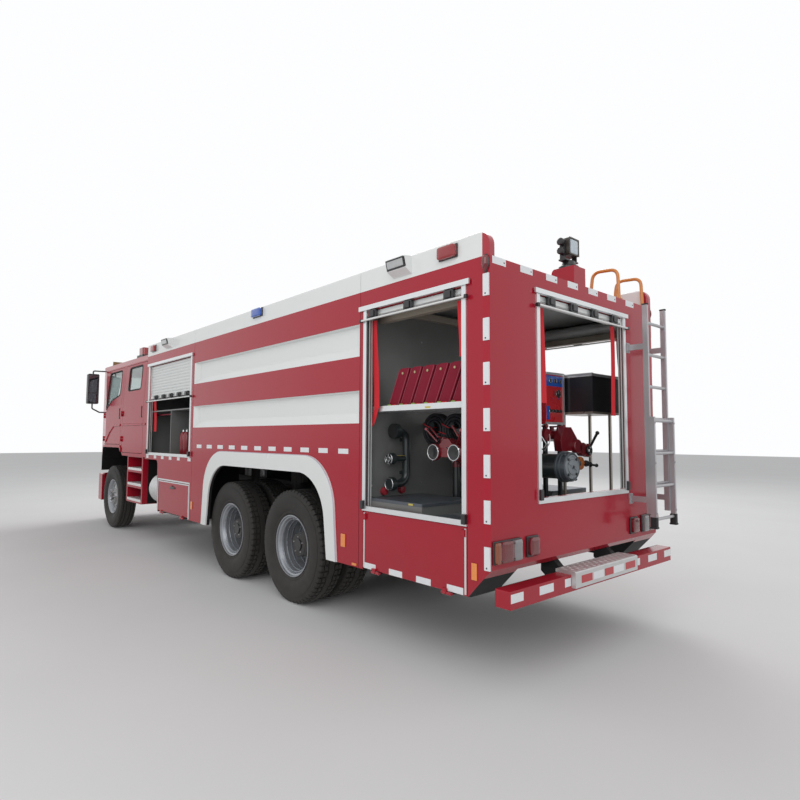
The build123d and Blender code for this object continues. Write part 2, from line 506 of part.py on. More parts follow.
# Pump set: spiral casing, suction pipe to the tail with its cap, gearbox and base
PUMP_X, PUMP_Z = 760, 1423
pump = turned([(0, -150), (150, -150), (190, -90), (200, 0), (190, 90), (150, 150), (0, 150)],
              PUMP_X, 0, PUMP_Z, "x")
pump += rod(430, 0, PUMP_Z, "x", 80, 520)
pump += rod(330, 0, PUMP_Z, "x", 104, 300) + rod(196, 0, PUMP_Z, "x", 120, 52)
pump += rod(600, 0, PUMP_Z, "x", 110, 26)
pump += turned([(0, 0), (110, 0), (110, -26), (64, -40), (0, -44)], 171, 0, PUMP_Z, "x")
pump += box(PUMP_X - 160, PUMP_X + 160, -180, 180, 1056, 1250)
pump += box(PUMP_X + 150, 1364, -110, 110, PUMP_Z - 130, PUMP_Z + 110)
for a in (0, 90, 180, 270):
    pump += rod(139, 88 * cos(radians(a + 45)), PUMP_Z + 88 * sin(radians(a + 45)), "x", 12, 40)
# branch pipe on the bulkhead with three mouths towards the left side
BRANCH_X, BRANCH_Y = 1290, 805
branch = sweep_tube([(BRANCH_X, 930, 1716), (BRANCH_X, BRANCH_Y, 1716), (BRANCH_X, BRANCH_Y, 1260),
                     (BRANCH_X, 960, 1260)], 34, 90)
branch += rod(BRANCH_X, 885, 1476, "y", 26, 160)
for y, z, r in ((940, 1716, 66), (985, 1476, 52), (980, 1260, 58)):
    branch += rod(BRANCH_X, y, z, "y", r, 50)
for z in (1350, 1640):
    branch += box(BRANCH_X + 20, 1364, BRANCH_Y - 15, BRANCH_Y + 15, z - 15, z + 15)
parts["pump_set"] = loose(pump, branch)

# Delivery manifold over the pump with four outlets, valves and levers
MANIFOLD_Z = 1690
OUTLETS_Y = (-480, -200, 330)
manifold = rod(PUMP_X, -115, MANIFOLD_Z, "y", 62, 1270) + rod(PUMP_X, 0, 1630, "z", 55, 80)
for y in OUTLETS_Y:
    manifold += rod(PUMP_X - 120, y, MANIFOLD_Z, "x", 42, 240)
    manifold += rod(PUMP_X - 246, y, MANIFOLD_Z, "x", 56, 34)
    manifold += rod(PUMP_X - 120, y, MANIFOLD_Z + 50, "z", 20, 70)
    manifold += rod(PUMP_X - 170, y, MANIFOLD_Z + 80, "x", 8, 150)
    manifold += Pos(PUMP_X - 250, y, MANIFOLD_Z + 80) * Sphere(18)
for y, foot in ((-700, STEP_FLOOR_Z), (440, floor_z)):
    manifold += sweep_tube([(PUMP_X, y, MANIFOLD_Z), (PUMP_X + 260, y, MANIFOLD_Z),
                            (PUMP_X + 260, y, foot)], 38, 120)
# two delivery valves that face the left door, each with a coupling and a lever
VALVES_X = (676, 909)
for x in VALVES_X:
    manifold += rod(x, 740, 1540, "y", 44, 160) + rod(x, 836, 1540, "y", 70, 32)
    manifold += rod(x, 730, 1610, "z", 26, 110) + rod(x, 700, 1600, "y", 40, 40)
header_x = sum(VALVES_X) / 2
manifold += rod(header_x, 690, 1600, "x", 46, VALVES_X[1] - VALVES_X[0] + 96)
manifold += sweep_tube([(header_x, 190, 1480), (header_x, 690, 1480), (header_x, 690, 1590)], 40, 70)
manifold += sweep_tube([(676, 730, 1660), (676, 790, 1665), (740, 800, 1760)], 9, 20)
manifold += sweep_tube([(909, 730, 1660), (909, 790, 1665), (985, 800, 1740)], 9, 20)
parts["pump_manifold"] = manifold - pump

# Control panel on its stand, facing the tail
PANEL = (-610, -310, 1790, 2280)
panel = box(585, 690, PANEL[0], PANEL[1], PANEL[2], PANEL[3])
panel = fillet(panel.edges().filter_by(Axis.X), 12)
for y in (-540, -460, -380):
    panel += rod(582, y, 2225, "x", 30, 14)
for row in range(2):
    for y in (-560, -500, -440, -380):
        panel += rod(580, y, 2000 - 90 * row, "x", 14, 16)
legs = [box(600, 640, y, y + 40, floor_z + BUTT, PANEL[2] - BUTT) for y in (PANEL[0] + 10, PANEL[1] - 50)]
parts["control_panel"] = loose(panel, *legs)

# Equipment shelf on the left and the tray on the right
SHELF_X = (WALL + 3, 1364)
SHELF_Z = 1900
SHELF_Y = (720, BODY_HALF - 75)
shelf = box(*SHELF_X, *SHELF_Y, SHELF_Z - 20, SHELF_Z)
shelf += box(*SHELF_X, SHELF_Y[1] - 12, SHELF_Y[1], SHELF_Z, SHELF_Z + 25)
TRAY = (300, 720, 55 - BODY_HALF, -640, 1890, 2262)
TRAY_T = 20
tray = box(*TRAY) - box(TRAY[0] + TRAY_T, TRAY[1] - TRAY_T, TRAY[2] + TRAY_T, TRAY[3] - TRAY_T,
                        TRAY[4] + TRAY_T, TRAY[5] + 1)
posts = [box(x, x + 20, y, y + 30, floor_z + BUTT, TRAY[4] - BUTT)
         for x, y in ((620, TRAY[2]), (400, TRAY[2]), (620, TRAY[3] - 50))]
parts["equipment_shelves"] = loose(shelf, tray, *posts)

# Seven red hose cases on the shelf, leaning back against the tail wall
cases = None
CASE_PITCH = 145
CASE_W, CASE_H, CASE_LEAN = 122, 330, 150
for k in range(7):
    x = 1193 - k * CASE_PITCH
    case = prism([(x - CASE_W, SHELF_Z), (x, SHELF_Z), (x - CASE_LEAN, SHELF_Z + CASE_H),
                  (x - CASE_LEAN - CASE_W, SHELF_Z + CASE_H)], "y", SHELF_Y[0] + 60, SHELF_Y[1] - 40)
    case = fillet(case.edges().filter_by(Axis.Y), 16)
    cases = case if cases is None else cases + case
parts["hose_cases"] = cases

# Two black hoses coiled on pegs beside the pump
COILS = ((1115, 1730), (875, 1722))
coils = []
for x, z in COILS:
    ring = turned([(58, -46), (136, -46), (148, -20), (148, 20), (136, 46), (58, 46)], x, 590, z, "y")
    peg = rod(x, 590, z + 44, "y", 14, 130) + rod(x, 650, z + 44, "y", 24, 12)
    coils += [ring - peg, peg]
bracket = box(1000, 1364, 520, 528, 1700, 1800) + box(860, 1000, 520, 528, 1740, 1800)
parts["hose_coils"] = loose(*coils, bracket)

# Rear bar with its brackets, and the aluminium step wrapped over its middle
BAR = (-140, -14, 546, 666)
BAR_HALF = BODY_HALF - 25
STEP_HALF = 475
bar = box(BAR[0], BAR[1], -BAR_HALF, BAR_HALF, BAR[2], BAR[3])
bar = fillet(bar.edges().filter_by(Axis.X) + bar.edges().filter_by(Axis.Z), 8)
bar -= box(BAR[0] + 6, BAR[1] - 6, -BAR_HALF + 6, BAR_HALF - 6, BAR[2] - 1, BAR[3] - 8)
BAR_ARM = [(BAR[1] + BUTT, 560), (60, 560), (160, 640), (160, RAIL_Z[0] - BUTT), (48, RAIL_Z[0] - BUTT),
           (-5, 690), (-5, 660), (BAR[1] + BUTT, 660)]
arm = prism(BAR_ARM, "y", RAIL_Y - 70, RAIL_Y - 10)
parts["rear_bar"] = loose(bar, arm, mirrored(arm))
step = box(-176, -8, -STEP_HALF, STEP_HALF, BAR[3], 690) + box(-176, BAR[0], -STEP_HALF, STEP_HALF, 572, 690)
step = fillet(step.edges().filter_by(Axis.Y).group_by(Axis.Z)[-1].group_by(Axis.X)[0], 12)
parts["rear_step"] = step

# Ladder: fixed upper section on wall brackets, lower section sliding down behind it
UPPER = (-195, -150, 716, 1094, 1010, 2850)   # rear, front, inner y, outer y, foot, head
LOWER = (-242, -198, 700, 1110, 890, 1852)
RUNG_PITCH = 285
RUNG_R = 14
STILE_W = 24
WALL_PLATE = 8


def ladder(section, top_rung, count, foot):
    """Two stiles of one section with rungs butted between them; foot is the stiles' lower end."""
    rear, front, inner, outer, _, head = section
    pieces = [box(rear, front, -y - STILE_W, -y, foot, head) for y in (inner, outer - STILE_W)]
    for k in range(count):
        pieces.append(rod((rear + front) / 2, -(inner + outer) / 2, top_rung - k * RUNG_PITCH, "y", RUNG_R,
                          outer - inner - 2 * (STILE_W + BUTT)))
    return pieces


fixed_ladder = ladder(UPPER, 2690, 6, UPPER[4])
for y in (UPPER[2], UPPER[3] - STILE_W):
    middle = -y - STILE_W / 2
    for z in (1128, 2480):
        foot = box(-WALL_PLATE, -BUTT, middle - 30, middle + 30, z - 45, z + 45)
        fixed_ladder.append(foot + box(UPPER[1] + BUTT, -WALL_PLATE, middle - 9, middle + 9, z - 25, z + 25))
    for z in (1020, 1700):
        fixed_ladder.append(box(LOWER[1] + BUTT, UPPER[0] - BUTT, middle - 10, middle + 10, z, z + 140))
parts["ladder_upper"] = loose(*fixed_ladder)
FOOT_H = 60
sliding = ladder(LOWER, 1818, 4, LOWER[4] + FOOT_H + BUTT)
for y in (LOWER[2], LOWER[3] - STILE_W):
    sliding.append(box(LOWER[0] - 4, LOWER[1], -y - STILE_W - 4, -y + 4, LOWER[4], LOWER[4] + FOOT_H))
parts["ladder_lower"] = loose(*sliding)

# Orange hoops beside the ladder head
hoops = None
for y in (-657, -1110):
    path = [(30, y, DECK_Z + 2), (40, y, DECK_Z + 285), (285, y, DECK_Z + 302), (322, y, DECK_Z + 2)]
    hoop = sweep_tube(path, 15, 60)
    hoops = hoop if hoops is None else hoops + hoop
    for x in (30, 322):
        hoops += rod(x, y, DECK_Z + 5, "z", 28, 10)
parts["grab_hoops"] = hoops

# Searchlight: turning yoke on the plinth and a nodding box head with cooling fins
YOKE_X, YOKE_Y, YOKE_Z = 102, 57, LAMP_PLINTH[4]
HEAD_Z = YOKE_Z + 180
HEAD_HALF = (76, 74)       # half width and half height of the head
PIVOT_R = 8
ARM_Y = 90                 # the arms stand this far to each side of the head's middle
yoke = turned([(0, BUTT), (82, BUTT), (82, 18), (60, 30), (50, 62), (0, 62)], YOKE_X, YOKE_Y, YOKE_Z, "z")
yoke += box(YOKE_X - 34, YOKE_X + 34, YOKE_Y - ARM_Y - 6, YOKE_Y + ARM_Y + 6, YOKE_Z + 60, YOKE_Z + 72)
for y in (YOKE_Y - ARM_Y, YOKE_Y + ARM_Y):
    yoke += box(YOKE_X - 22, YOKE_X + 22, y - 6, y + 6, YOKE_Z + 60, HEAD_Z)
    yoke += rod(YOKE_X, y, HEAD_Z, "y", 22, 12)
    yoke -= rod(YOKE_X, y, HEAD_Z, "y", PIVOT_R + BORE_PLAY, 20)
parts["searchlight_yoke"] = yoke
head = box(YOKE_X - 54, YOKE_X + 30, YOKE_Y - HEAD_HALF[0], YOKE_Y + HEAD_HALF[0],
           HEAD_Z - HEAD_HALF[1], HEAD_Z + HEAD_HALF[1])
head = fillet(head.edges().filter_by(Axis.X), 20)
well = box(YOKE_X - 60, YOKE_X - 44, YOKE_Y - HEAD_HALF[0] + 12, YOKE_Y + HEAD_HALF[0] - 12,
           HEAD_Z - HEAD_HALF[1] + 12, HEAD_Z + HEAD_HALF[1] - 12)
head -= fillet(well.edges().filter_by(Axis.X), 12)
for k in range(5):
    y = YOKE_Y - 44 + 22 * k
    head += box(YOKE_X + 29, YOKE_X + 52, y - 3, y + 3, HEAD_Z - 50, HEAD_Z + 50)
for y in (YOKE_Y - ARM_Y + 3, YOKE_Y + ARM_Y - 3):
    head += rod(YOKE_X, y, HEAD_Z, "y", PIVOT_R, 26)
parts["searchlight_head"] = head

# Lamps. Red: tail clusters, corner markers, roof-edge flashers, light bar
red = None
for s in (1, -1):
    for inset, width, z0, z1 in ((25, 290, 818, 962), (397, 128, 822, 958)):
        y1 = BODY_HALF - inset
        lamp = box(-42, 0, min(s * y1, s * (y1 - width)), max(s * y1, s * (y1 - width)), z0, z1)
        lamp = fillet(lamp.faces().sort_by(Axis.X)[0].edges(), 9)
        red = lamp if red is None else red + lamp
    drop = Plane.XZ * Pos(28, DECK_Z - 65) * Rot(0, 0, 90) * SlotOverall(124, 52)
    drop = extrude(drop, amount=18, both=True)
    red += Pos(0, s * (BODY_HALF + 8), 0) * drop
    for x0, x1 in ((280, 470), (6540, 6720)):
        y0, y1 = BODY_HALF, BODY_HALF + 45
        flash = box(x0, x1, min(s * y0, s * y1), max(s * y0, s * y1), DECK_Z + 48, DECK_Z + 152)
        red += fillet(flash.edges().filter_by(Axis.X), 12)
BAR_X = (8030, 8330)
lens = box(BAR_X[0] + 20, BAR_X[1] - 20, -950, 950, CAB_ROOF + 80, CAB_ROOF + 225)
lens = fillet(lens.edges().filter_by(Axis.Y).group_by(Axis.Z)[-1], 55)
lens = fillet(lens.edges().filter_by(Axis.Z), 20)
red += lens - box(BAR_X[0], BAR_X[1], -170, 170, CAB_ROOF, CAB_ROOF + 300)
parts["red_lamps"] = red - bay

# Clear and blue lamps on the coaming, with their wedges
white = None
for s in (1, -1):
    for x0, x1 in ((770, 985), (5860, 6075)):
        pts = [(s * BODY_HALF, DECK_Z + 28), (s * (BODY_HALF + 75), DECK_Z + 70),
               (s * (BODY_HALF + 95), DECK_Z + 158), (s * BODY_HALF, DECK_Z + 172)]
        lamp = prism(pts, "x", x0, x1)
        white = lamp if white is None else white + lamp
beacon = box(3180, 3400, BODY_HALF, BODY_HALF + 42, DECK_Z + 72, DECK_Z + 172)
blue = both(fillet(beacon.edges().filter_by(Axis.X), 12))
dome = box(BAR_X[0] + 30, BAR_X[1] - 30, -168, 168, CAB_ROOF + 80, CAB_ROOF + 205)
blue += fillet(dome.edges().filter_by(Axis.Y).group_by(Axis.Z)[-1], 45)
parts["blue_lamps"] = blue

# Cab: the crossing of three outlines (front, top and side view), hollowed by an inner copy
SIDE_TAPER_X = 9350         # ahead of this the side draws in to the nose corner
NOSE_X, NOSE_HALF = 9960, 1060
CAB_BROW = CAB_ROOF - 110   # height at which the side bends into the roof
CAB_SECTION = [(-CAB_HALF, 560), (CAB_HALF, 560), (CAB_HALF, 2200), (CAB_HALF - 48, CAB_BROW),
               (CAB_HALF - 120, CAB_ROOF), (-CAB_HALF + 120, CAB_ROOF), (-CAB_HALF + 48, CAB_BROW),
               (-CAB_HALF, 2200)]
CAB_PLAN = [(CAB_REAR, -CAB_HALF), (SIDE_TAPER_X, -CAB_HALF), (NOSE_X, -NOSE_HALF),
            (CAB_FRONT - 40, -870), (CAB_FRONT, 0), (CAB_FRONT - 40, 870), (NOSE_X, NOSE_HALF),
            (SIDE_TAPER_X, CAB_HALF), (CAB_REAR, CAB_HALF)]
CAB_SIDE = [(CAB_REAR, 1330), (8280, 1330), (8420, 1465), (9560, 1465), (9700, 1250), (9740, 1010),
            (CAB_FRONT - 10, 1010), (CAB_FRONT + 20, 1950), (CAB_FRONT - 50, 2120),
            (CAB_FRONT - 230, CAB_ROOF + 20), (CAB_REAR, CAB_ROOF + 20)]


def cab_block(t):
    """The cab volume, shrunk by t on every side."""
    soft = [((CAB_HALF - 48, CAB_BROW), 120), ((-CAB_HALF + 48, CAB_BROW), 120)] if not t else []
    block = prism(CAB_SECTION, "x", CAB_REAR + t, CAB_FRONT + 60, inset=t)
    block &= prism(CAB_PLAN, "z", 500, CAB_ROOF + 60, inset=t)
    block &= prism(CAB_SIDE, "y", -1300, 1300, inset=t)
    return block


outer = cab_block(0)
inner = cab_block(CAB_T)
DOORS = {"front": [(8424, 1517), (9600, 1517), (9600, 2120), (9470, 2900), (8424, 2900)],
         "rear": [(7226, 1380), (8336, 1380), (8336, 2900), (7226, 2900)]}
WINDOWS = {"front": [(8555, 2405), (9020, 2330), (9370, 2150), (9300, 2850), (8555, 2850)],
           "rear": [(7440, 2450), (8110, 2450), (8110, 2850), (7440, 2850)]}
WINDSCREEN = [(-960, 2130), (960, 2130), (900, 2890), (-900, 2890)]
REAR_WINDOW = [(-820, 2250), (820, 2250), (820, 2700), (-820, 2700)]
GLASS_IN = 14              # the panes lie this far under the skin
GLASS_T = 6
shell = outer - inner
for outline in DOORS.values():
    shell -= prism(outline, "y", -1400, 1400, r=40)
screen_cut = prism(WINDSCREEN, "x", 9800, 10400, r=60)
rear_cut = prism(REAR_WINDOW, "x", 7000, 7200, r=60)
shell -= screen_cut + rear_cut
# engine tunnel between the footwells: two side plates and a front plate under a lid
floor_top = CAB_SIDE[3][1] + CAB_T + BUTT
TUNNEL_X, TUNNEL_HALF, LID_Z = (8460, 9640), 420, (1600, 1640)
plate_z = floor_top, LID_Z[0] - BUTT
tunnel = [box(*TUNNEL_X, -TUNNEL_HALF, TUNNEL_HALF, *LID_Z),
          box(TUNNEL_X[1] - 20, TUNNEL_X[1], -TUNNEL_HALF + 30, TUNNEL_HALF - 30, *plate_z),
          *pair([box(*TUNNEL_X, TUNNEL_HALF - 30 + BUTT, TUNNEL_HALF, *plate_z)])]
# pressed belt crease along both sides, bent down to the wheel on the front door
CREASE = [(CAB_HALF - 5, 1838), (CAB_HALF + 14, 1850), (CAB_HALF + 14, 1872), (CAB_HALF - 5, 1884)]
FRONT_CREASE = [(8431, 1838), (8820, 1838), (9080, 1716), (9306, 1546), (9348, 1590), (9116, 1762),
                (8840, 1884), (8431, 1884)]
shell += both(prism(CREASE, "x", CAB_REAR + 6, 7212))
# flare over the front wheel, carried forward on the tapered corner
FLARE = [(8344, 1392), *CAB_SIDE[2:6], (9782, 1010), (9742, 1264), (9583, 1507), (8402, 1507), (8344, 1450)]
FLARE_OUT = 16
flare_plan = prism([(x, y + FLARE_OUT) for x, y in CAB_PLAN if y > 0] + [(CAB_REAR, 0), (CAB_FRONT, 0)],
                   "z", 1000, 1600)
flare = (prism(FLARE, "y", CAB_HALF - 160, CAB_HALF + FLARE_OUT) & flare_plan) - inner
shell += both(flare)
# crew steps under the rear door: a back box, two cheeks and the slabs under each tread
STEP_WELLS = (610, 862, 1112)
CREW_STEP = (7190, 7990, 760, CAB_HALF - 10, 570, CAB_SIDE[0][1] - BUTT)
CHEEK = 50
STEP_IN = 930              # the treads reach in to here
ROUND_FOOT = 30
back_box = box(*CREW_STEP[:3], STEP_IN - BUTT, *CREW_STEP[4:])
steps = [fillet(back_box.edges().filter_by(Axis.Y).group_by(Axis.Z)[0], ROUND_FOOT)]
for a, outer_end in ((CREW_STEP[0], 0), (CREW_STEP[1] - CHEEK, -1)):
    cheek = box(a, a + CHEEK, STEP_IN, *CREW_STEP[3:])
    low_edges = cheek.edges().filter_by(Axis.Y).group_by(Axis.Z)[0]
    steps.append(fillet(low_edges.sort_by(Axis.X)[outer_end], ROUND_FOOT))
levels = [CREW_STEP[4], *[z + d for z in STEP_WELLS for d in (24, 205)], CREW_STEP[5]]
for low, high in zip(levels[::2], levels[1::2]):
    steps.append(box(CREW_STEP[0] + CHEEK + BUTT, CREW_STEP[1] - CHEEK - BUTT, STEP_IN, CREW_STEP[3],
                     low, high))
# front step let into the corner ahead of the wheel
shell -= both(box(9760, 10120, 900, 1300, 1010, 1180))

TAPER = (CAB_HALF - NOSE_HALF) / (NOSE_X - SIDE_TAPER_X)
HINGE_OUT = 17             # hinge axis stands this far off the skin
hinges = {}
for name, outline in DOORS.items():
    edge_x = outline[1][0] - DOOR_GAP
    hinges[name] = (edge_x, CAB_HALF - max(0, edge_x - SIDE_TAPER_X) * TAPER + HINGE_OUT)
pane_skin = cab_block(GLASS_IN) - cab_block(GLASS_IN + GLASS_T)
for name, outline in DOORS.items():
    for side, sign in (("left", 1), ("right", -1)):
        near = (900, 1400) if sign > 0 else (-1400, -900)
        leaf = (outer - inner) & prism(outline, "y", *near, inset=DOOR_GAP, r=34)
        window = prism(WINDOWS[name], "y", *near, r=45)
        pane = pane_skin & window
        leaf -= window
        back = outline[0][0]
        grip = box(back + 60, back + 118, sign * CAB_HALF - 16, sign * CAB_HALF + 30, 1975, 2160)
        leaf -= grip
        leaf += rod(back + 89, sign * (CAB_HALF - 4), 2067, "z", 9, 190)
        if name == "rear":
            crease = prism(CREASE, "x", back + DOOR_GAP, outline[1][0] - DOOR_GAP)
        else:
            crease = prism(FRONT_CREASE, "y", CAB_HALF - 5, CAB_HALF + 14)
            crease = chamfer(crease.faces().sort_by(Axis.Y)[-1].edges(), 9)
        leaf += crease if sign > 0 else mirrored(crease)
        hx, hy = hinges[name]
        for z in (1620, 2060):
            fixed, moving = hinge_lugs((hx, sign * hy, z), "z", (34, -sign * 28, 0), (-30, -sign * 22, 0))
            shell += fixed
            leaf += moving
        parts[f"door_{name}_{side}"] = leaf
        parts[f"door_glass_{name}_{side}"] = pane
# the shell is welded up from nine panels, each of them the shell inside one box
PAST = 1300                # beyond the skin on either side
FLOOR_SEAM = floor_top + 140
BACK_SEAM = CAB_REAR + CAB_T + 1
across, ahead = (-PAST, PAST), CAB_FRONT + 100
PANELS = [(CAB_REAR - 50, ahead, *across, CAB_BROW, CAB_ROOF + 50),
          (CAB_REAR - 50, BACK_SEAM, -NOSE_HALF, NOSE_HALF, 500, CAB_BROW),
          (BACK_SEAM, SIDE_TAPER_X, -NOSE_HALF, NOSE_HALF, 500, FLOOR_SEAM),
          (SIDE_TAPER_X, NOSE_X, *across, 500, FLOOR_SEAM),
          (NOSE_X, ahead, *across, 500, CAB_BROW)]
for near in ((NOSE_HALF, PAST), (-PAST, -NOSE_HALF)):
    PANELS.append((CAB_REAR - 50, SIDE_TAPER_X, *near, 500, CAB_BROW))
for near in ((0, PAST), (-PAST, 0)):
    PANELS.append((SIDE_TAPER_X, NOSE_X, *near, FLOOR_SEAM, CAB_BROW))
panels = []
for x0, x1, y0, y1, z0, z1 in PANELS:
    panels.append(shell & box(x0, x1 - BUTT, y0 + BUTT / 2, y1 - BUTT / 2, z0, z1 - BUTT))
parts["cab_shell"] = loose(*panels, *tunnel, *pair(steps))
parts["cab_glass"] = loose(pane_skin & screen_cut, pane_skin & rear_cut)

# Cab interior: seats, crew bench, dashboard, column and wheel
SEATS = ((8700, 620), (8700, -620), (7420, 780), (7420, 260), (7420, -260), (7420, -780))
inside = None
for x, y in SEATS:
    base = 1512 if x > 8000 else 1377
    seat = fillet(box(x, x + 480, y - 235, y + 235, base + 300, base + 420).edges(), 25)
    back = prism([(x - 10, base + 400), (x + 100, base + 400), (x + 20, base + 1040), (x - 70, base + 1040)],
                 "y", y - 225, y + 225)
    seat += fillet(back.edges(), 20)
    seat += fillet(box(x - 68, x + 6, y - 130, y + 130, base + 1050, base + 1200).edges(), 18)
    seat += box(x - 50, x - 20, y - 60, y + 60, base + 1000, base + 1100)
    seat += box(x + 60, x + 420, y - 180, y + 180, base - 2, base + 301)
    inside = seat if inside is None else inside + seat
dash = prism([(9700, 1512), (9760, 1512), (9760, 1800), (10060, 1900), (10060, 2080), (9640, 2050),
              (9600, 1900)], "y", -900, 900)
dash = fillet(dash.edges().filter_by(Axis.Y).group_by(Axis.Z)[-1], 30)
inside += dash + box(9420, 9660, -140, 140, 1640, 1950)
tilt = Pos(9560, 620, 2080) * Rot(0, -35, 0)
inside += tilt * (Torus(215, 16) + Cylinder(60, 30) + Box(400, 30, 14) + Box(30, 400, 14))
inside += Pos(9640, 620, 1965) * Rot(0, -35, 0) * Cylinder(35, 260)
parts["cab_interior"] = inside

# Bumper with lamp pockets, fog lamps and a pin hole for the tow pin
TOW_PIN_R = 20
TOW_PIN_X = 10277
bumper = prism([(9790, -1085), (10080, -1065), (10300, -900), (FRONT_END, -500), (FRONT_END, 500),
                (10300, 900), (10080, 1065), (9790, 1085)], "z", 430, 930,
               soft=[((10300, 900), 120), ((10300, -900), 120)])
bumper -= prism([(9700, -1040), (10060, -1020), (10260, -870), (10310, -490), (10310, 490), (10260, 870),
                 (10060, 1020), (9700, 1040)], "z", 420, 940)
LAMP_AT = [Pos(10300, s * 770, 710) * Rot(0, 0, s * 22) for s in (1, -1)]
LAMP_W, LAMP_H = 300, 150
for place in LAMP_AT:
    bumper -= place * Box(260, LAMP_W, LAMP_H)
bumper -= box(10300, 10400, -420, 420, 520, 640)
for z in (560, 660):
    bumper += box(10060, 10320, -60, 60, z, z + 40)
bumper += box(10060, 10100, -60, 60, 560, 700)
bumper += both(box(9950, 10315, RAIL_Y - 80, RAIL_Y - RAIL_T, RAIL_Z[0] + RAIL_T, 899))
bumper -= rod(TOW_PIN_X, 0, 630, "z", TOW_PIN_R, 300)
parts["front_bumper"] = bumper

# Headlamps in the bumper pockets, turn lamps above
front_lamps = None
for place in LAMP_AT:
    unit = Box(60, LAMP_W, LAMP_H)
    for d in (-72, 72):
        unit += Pos(30, d, 0) * Rot(0, 90, 0) * Cone(58, 50, 24)
    unit = place * Pos(-40, 0, 0) * unit
    front_lamps = unit if front_lamps is None else front_lamps + unit
parts["clear_lamps"] = white + front_lamps

# Grille on the cab front: frame with seven slats, and black trims: mirrors, visor, wipers
grille = box(CAB_FRONT - 20, CAB_FRONT + 45, -640, 640, 1120, 1760)
grille = fillet(grille.edges().filter_by(Axis.X), 60)
grille -= box(CAB_FRONT - 40, CAB_FRONT + 60, -590, 590, 1160, 1720)
grille += box(CAB_FRONT - 20, CAB_FRONT - 5, -600, 600, 1150, 1730)
SLATS = 7
for k in range(SLATS):
    z = 1200 + 75 * k
    slat = [(CAB_FRONT - 8, z), (CAB_FRONT + 38, z + 18), (CAB_FRONT + 38, z + 30), (CAB_FRONT - 8, z + 12)]
    grille += prism(slat, "y", -596, 596)
for y in (-300, 0, 300):
    grille += box(CAB_FRONT - 8, CAB_FRONT + 20, y - 8, y + 8, 1155, 1725)
parts["grille"] = grille - outer

MIRROR_X = 9800
MIRROR_Y = (1215, 1410)
mid_y = sum(MIRROR_Y) / 2
housing = box(MIRROR_X - 60, MIRROR_X + 50, *MIRROR_Y, 2290, 2870)
housing = fillet(housing.edges().filter_by(Axis.X), 24)
housing -= box(MIRROR_X - 70, MIRROR_X - 52, MIRROR_Y[0] + 15, MIRROR_Y[1] - 15, 2310, 2850)
housing += sweep_tube([(MIRROR_X - 60, 1030, 2935), (MIRROR_X, 1200, 2935), (MIRROR_X, mid_y, 2935),
                       (MIRROR_X, mid_y, 2860)], 13, 30)
housing += sweep_tube([(MIRROR_X - 30, 1060, 2130), (MIRROR_X, 1180, 2130), (MIRROR_X, mid_y, 2200),
                       (MIRROR_X, mid_y, 2300)], 13, 30)
black = both(housing)
visor = prism([(9985, 2960), (10010, 2960), (10190, 3050), (10180, 3190), (10165, 3190), (10165, 3060),
               (9985, 2985)], "y", -860, 860)
black += visor
for y in (-700, 0, 700):
    black += box(9930, 10020, y - 15, y + 15, 2965, 2990)
black += box(BAR_X[0], BAR_X[1], -960, 960, CAB_ROOF + 35, CAB_ROOF + 80)
for y in (-700, 700):
    black += box(BAR_X[0] + 60, BAR_X[1] - 60, y - 40, y + 40, CAB_ROOF - 2, CAB_ROOF + 40)
parts["black_trim"] = black - outer

# Tanks in the notch behind the cab: two ribbed air cylinders left, a fuel tank right
TANK_R = 235
air = rod(6610, 905, 860, "y", TANK_R, 560)
air = fillet(air.edges(), 40)
for y in (720, 905, 1090):
    air += turned([(TANK_R - 6, -12), (TANK_R + 8, -12), (TANK_R + 8, 12), (TANK_R - 6, 12)], 6610, y, 860)
air += box(6520, 6700, RAIL_Y, 700, 900, 960)
fuel = box(6370, 7130, -1150, -560, 600, 1150)
fuel = fillet(fuel.edges().filter_by(Axis.X) + fuel.edges().filter_by(Axis.Y), 70)
for x in (6520, 6960):
    fuel += box(x - 20, x + 20, -1156, -554, 594, 1156) - box(x - 21, x + 21, -1148, -562, 602, 1148)
    fuel += box(x - 20, x + 20, -560, -RAIL_Y, 880, 960)
fuel += Pos(6560, -1020, 1156) * Cylinder(55, 40)
parts["side_tanks"] = air + fuel

for name, shape in parts.items():
    export_step(Pos(-MIDDLE, 0, 0) * shape, os.path.join("parts", name + ".step"))
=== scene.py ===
import bmesh
import bpy
import numpy as np
from mathutils import Matrix, Vector


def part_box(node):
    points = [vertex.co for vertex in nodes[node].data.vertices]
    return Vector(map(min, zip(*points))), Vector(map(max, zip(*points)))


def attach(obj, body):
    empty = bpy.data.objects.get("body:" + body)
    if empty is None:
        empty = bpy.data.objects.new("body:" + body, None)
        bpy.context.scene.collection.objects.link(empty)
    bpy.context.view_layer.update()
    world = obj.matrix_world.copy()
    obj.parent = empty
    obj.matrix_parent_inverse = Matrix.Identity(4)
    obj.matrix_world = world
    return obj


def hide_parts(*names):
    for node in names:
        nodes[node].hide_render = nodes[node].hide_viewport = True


# Frame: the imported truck. Stations along X in this file are metres from the rear
# wall, as in the part's source, and rear_wall moves them to the row frame.
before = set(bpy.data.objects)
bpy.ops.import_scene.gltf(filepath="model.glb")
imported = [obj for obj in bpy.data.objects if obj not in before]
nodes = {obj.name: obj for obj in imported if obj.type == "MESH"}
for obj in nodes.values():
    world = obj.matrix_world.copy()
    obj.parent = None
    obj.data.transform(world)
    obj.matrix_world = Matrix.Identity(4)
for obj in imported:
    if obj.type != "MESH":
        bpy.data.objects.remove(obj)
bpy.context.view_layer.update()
rear_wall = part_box("bay_linings")[0][0] - 0.038

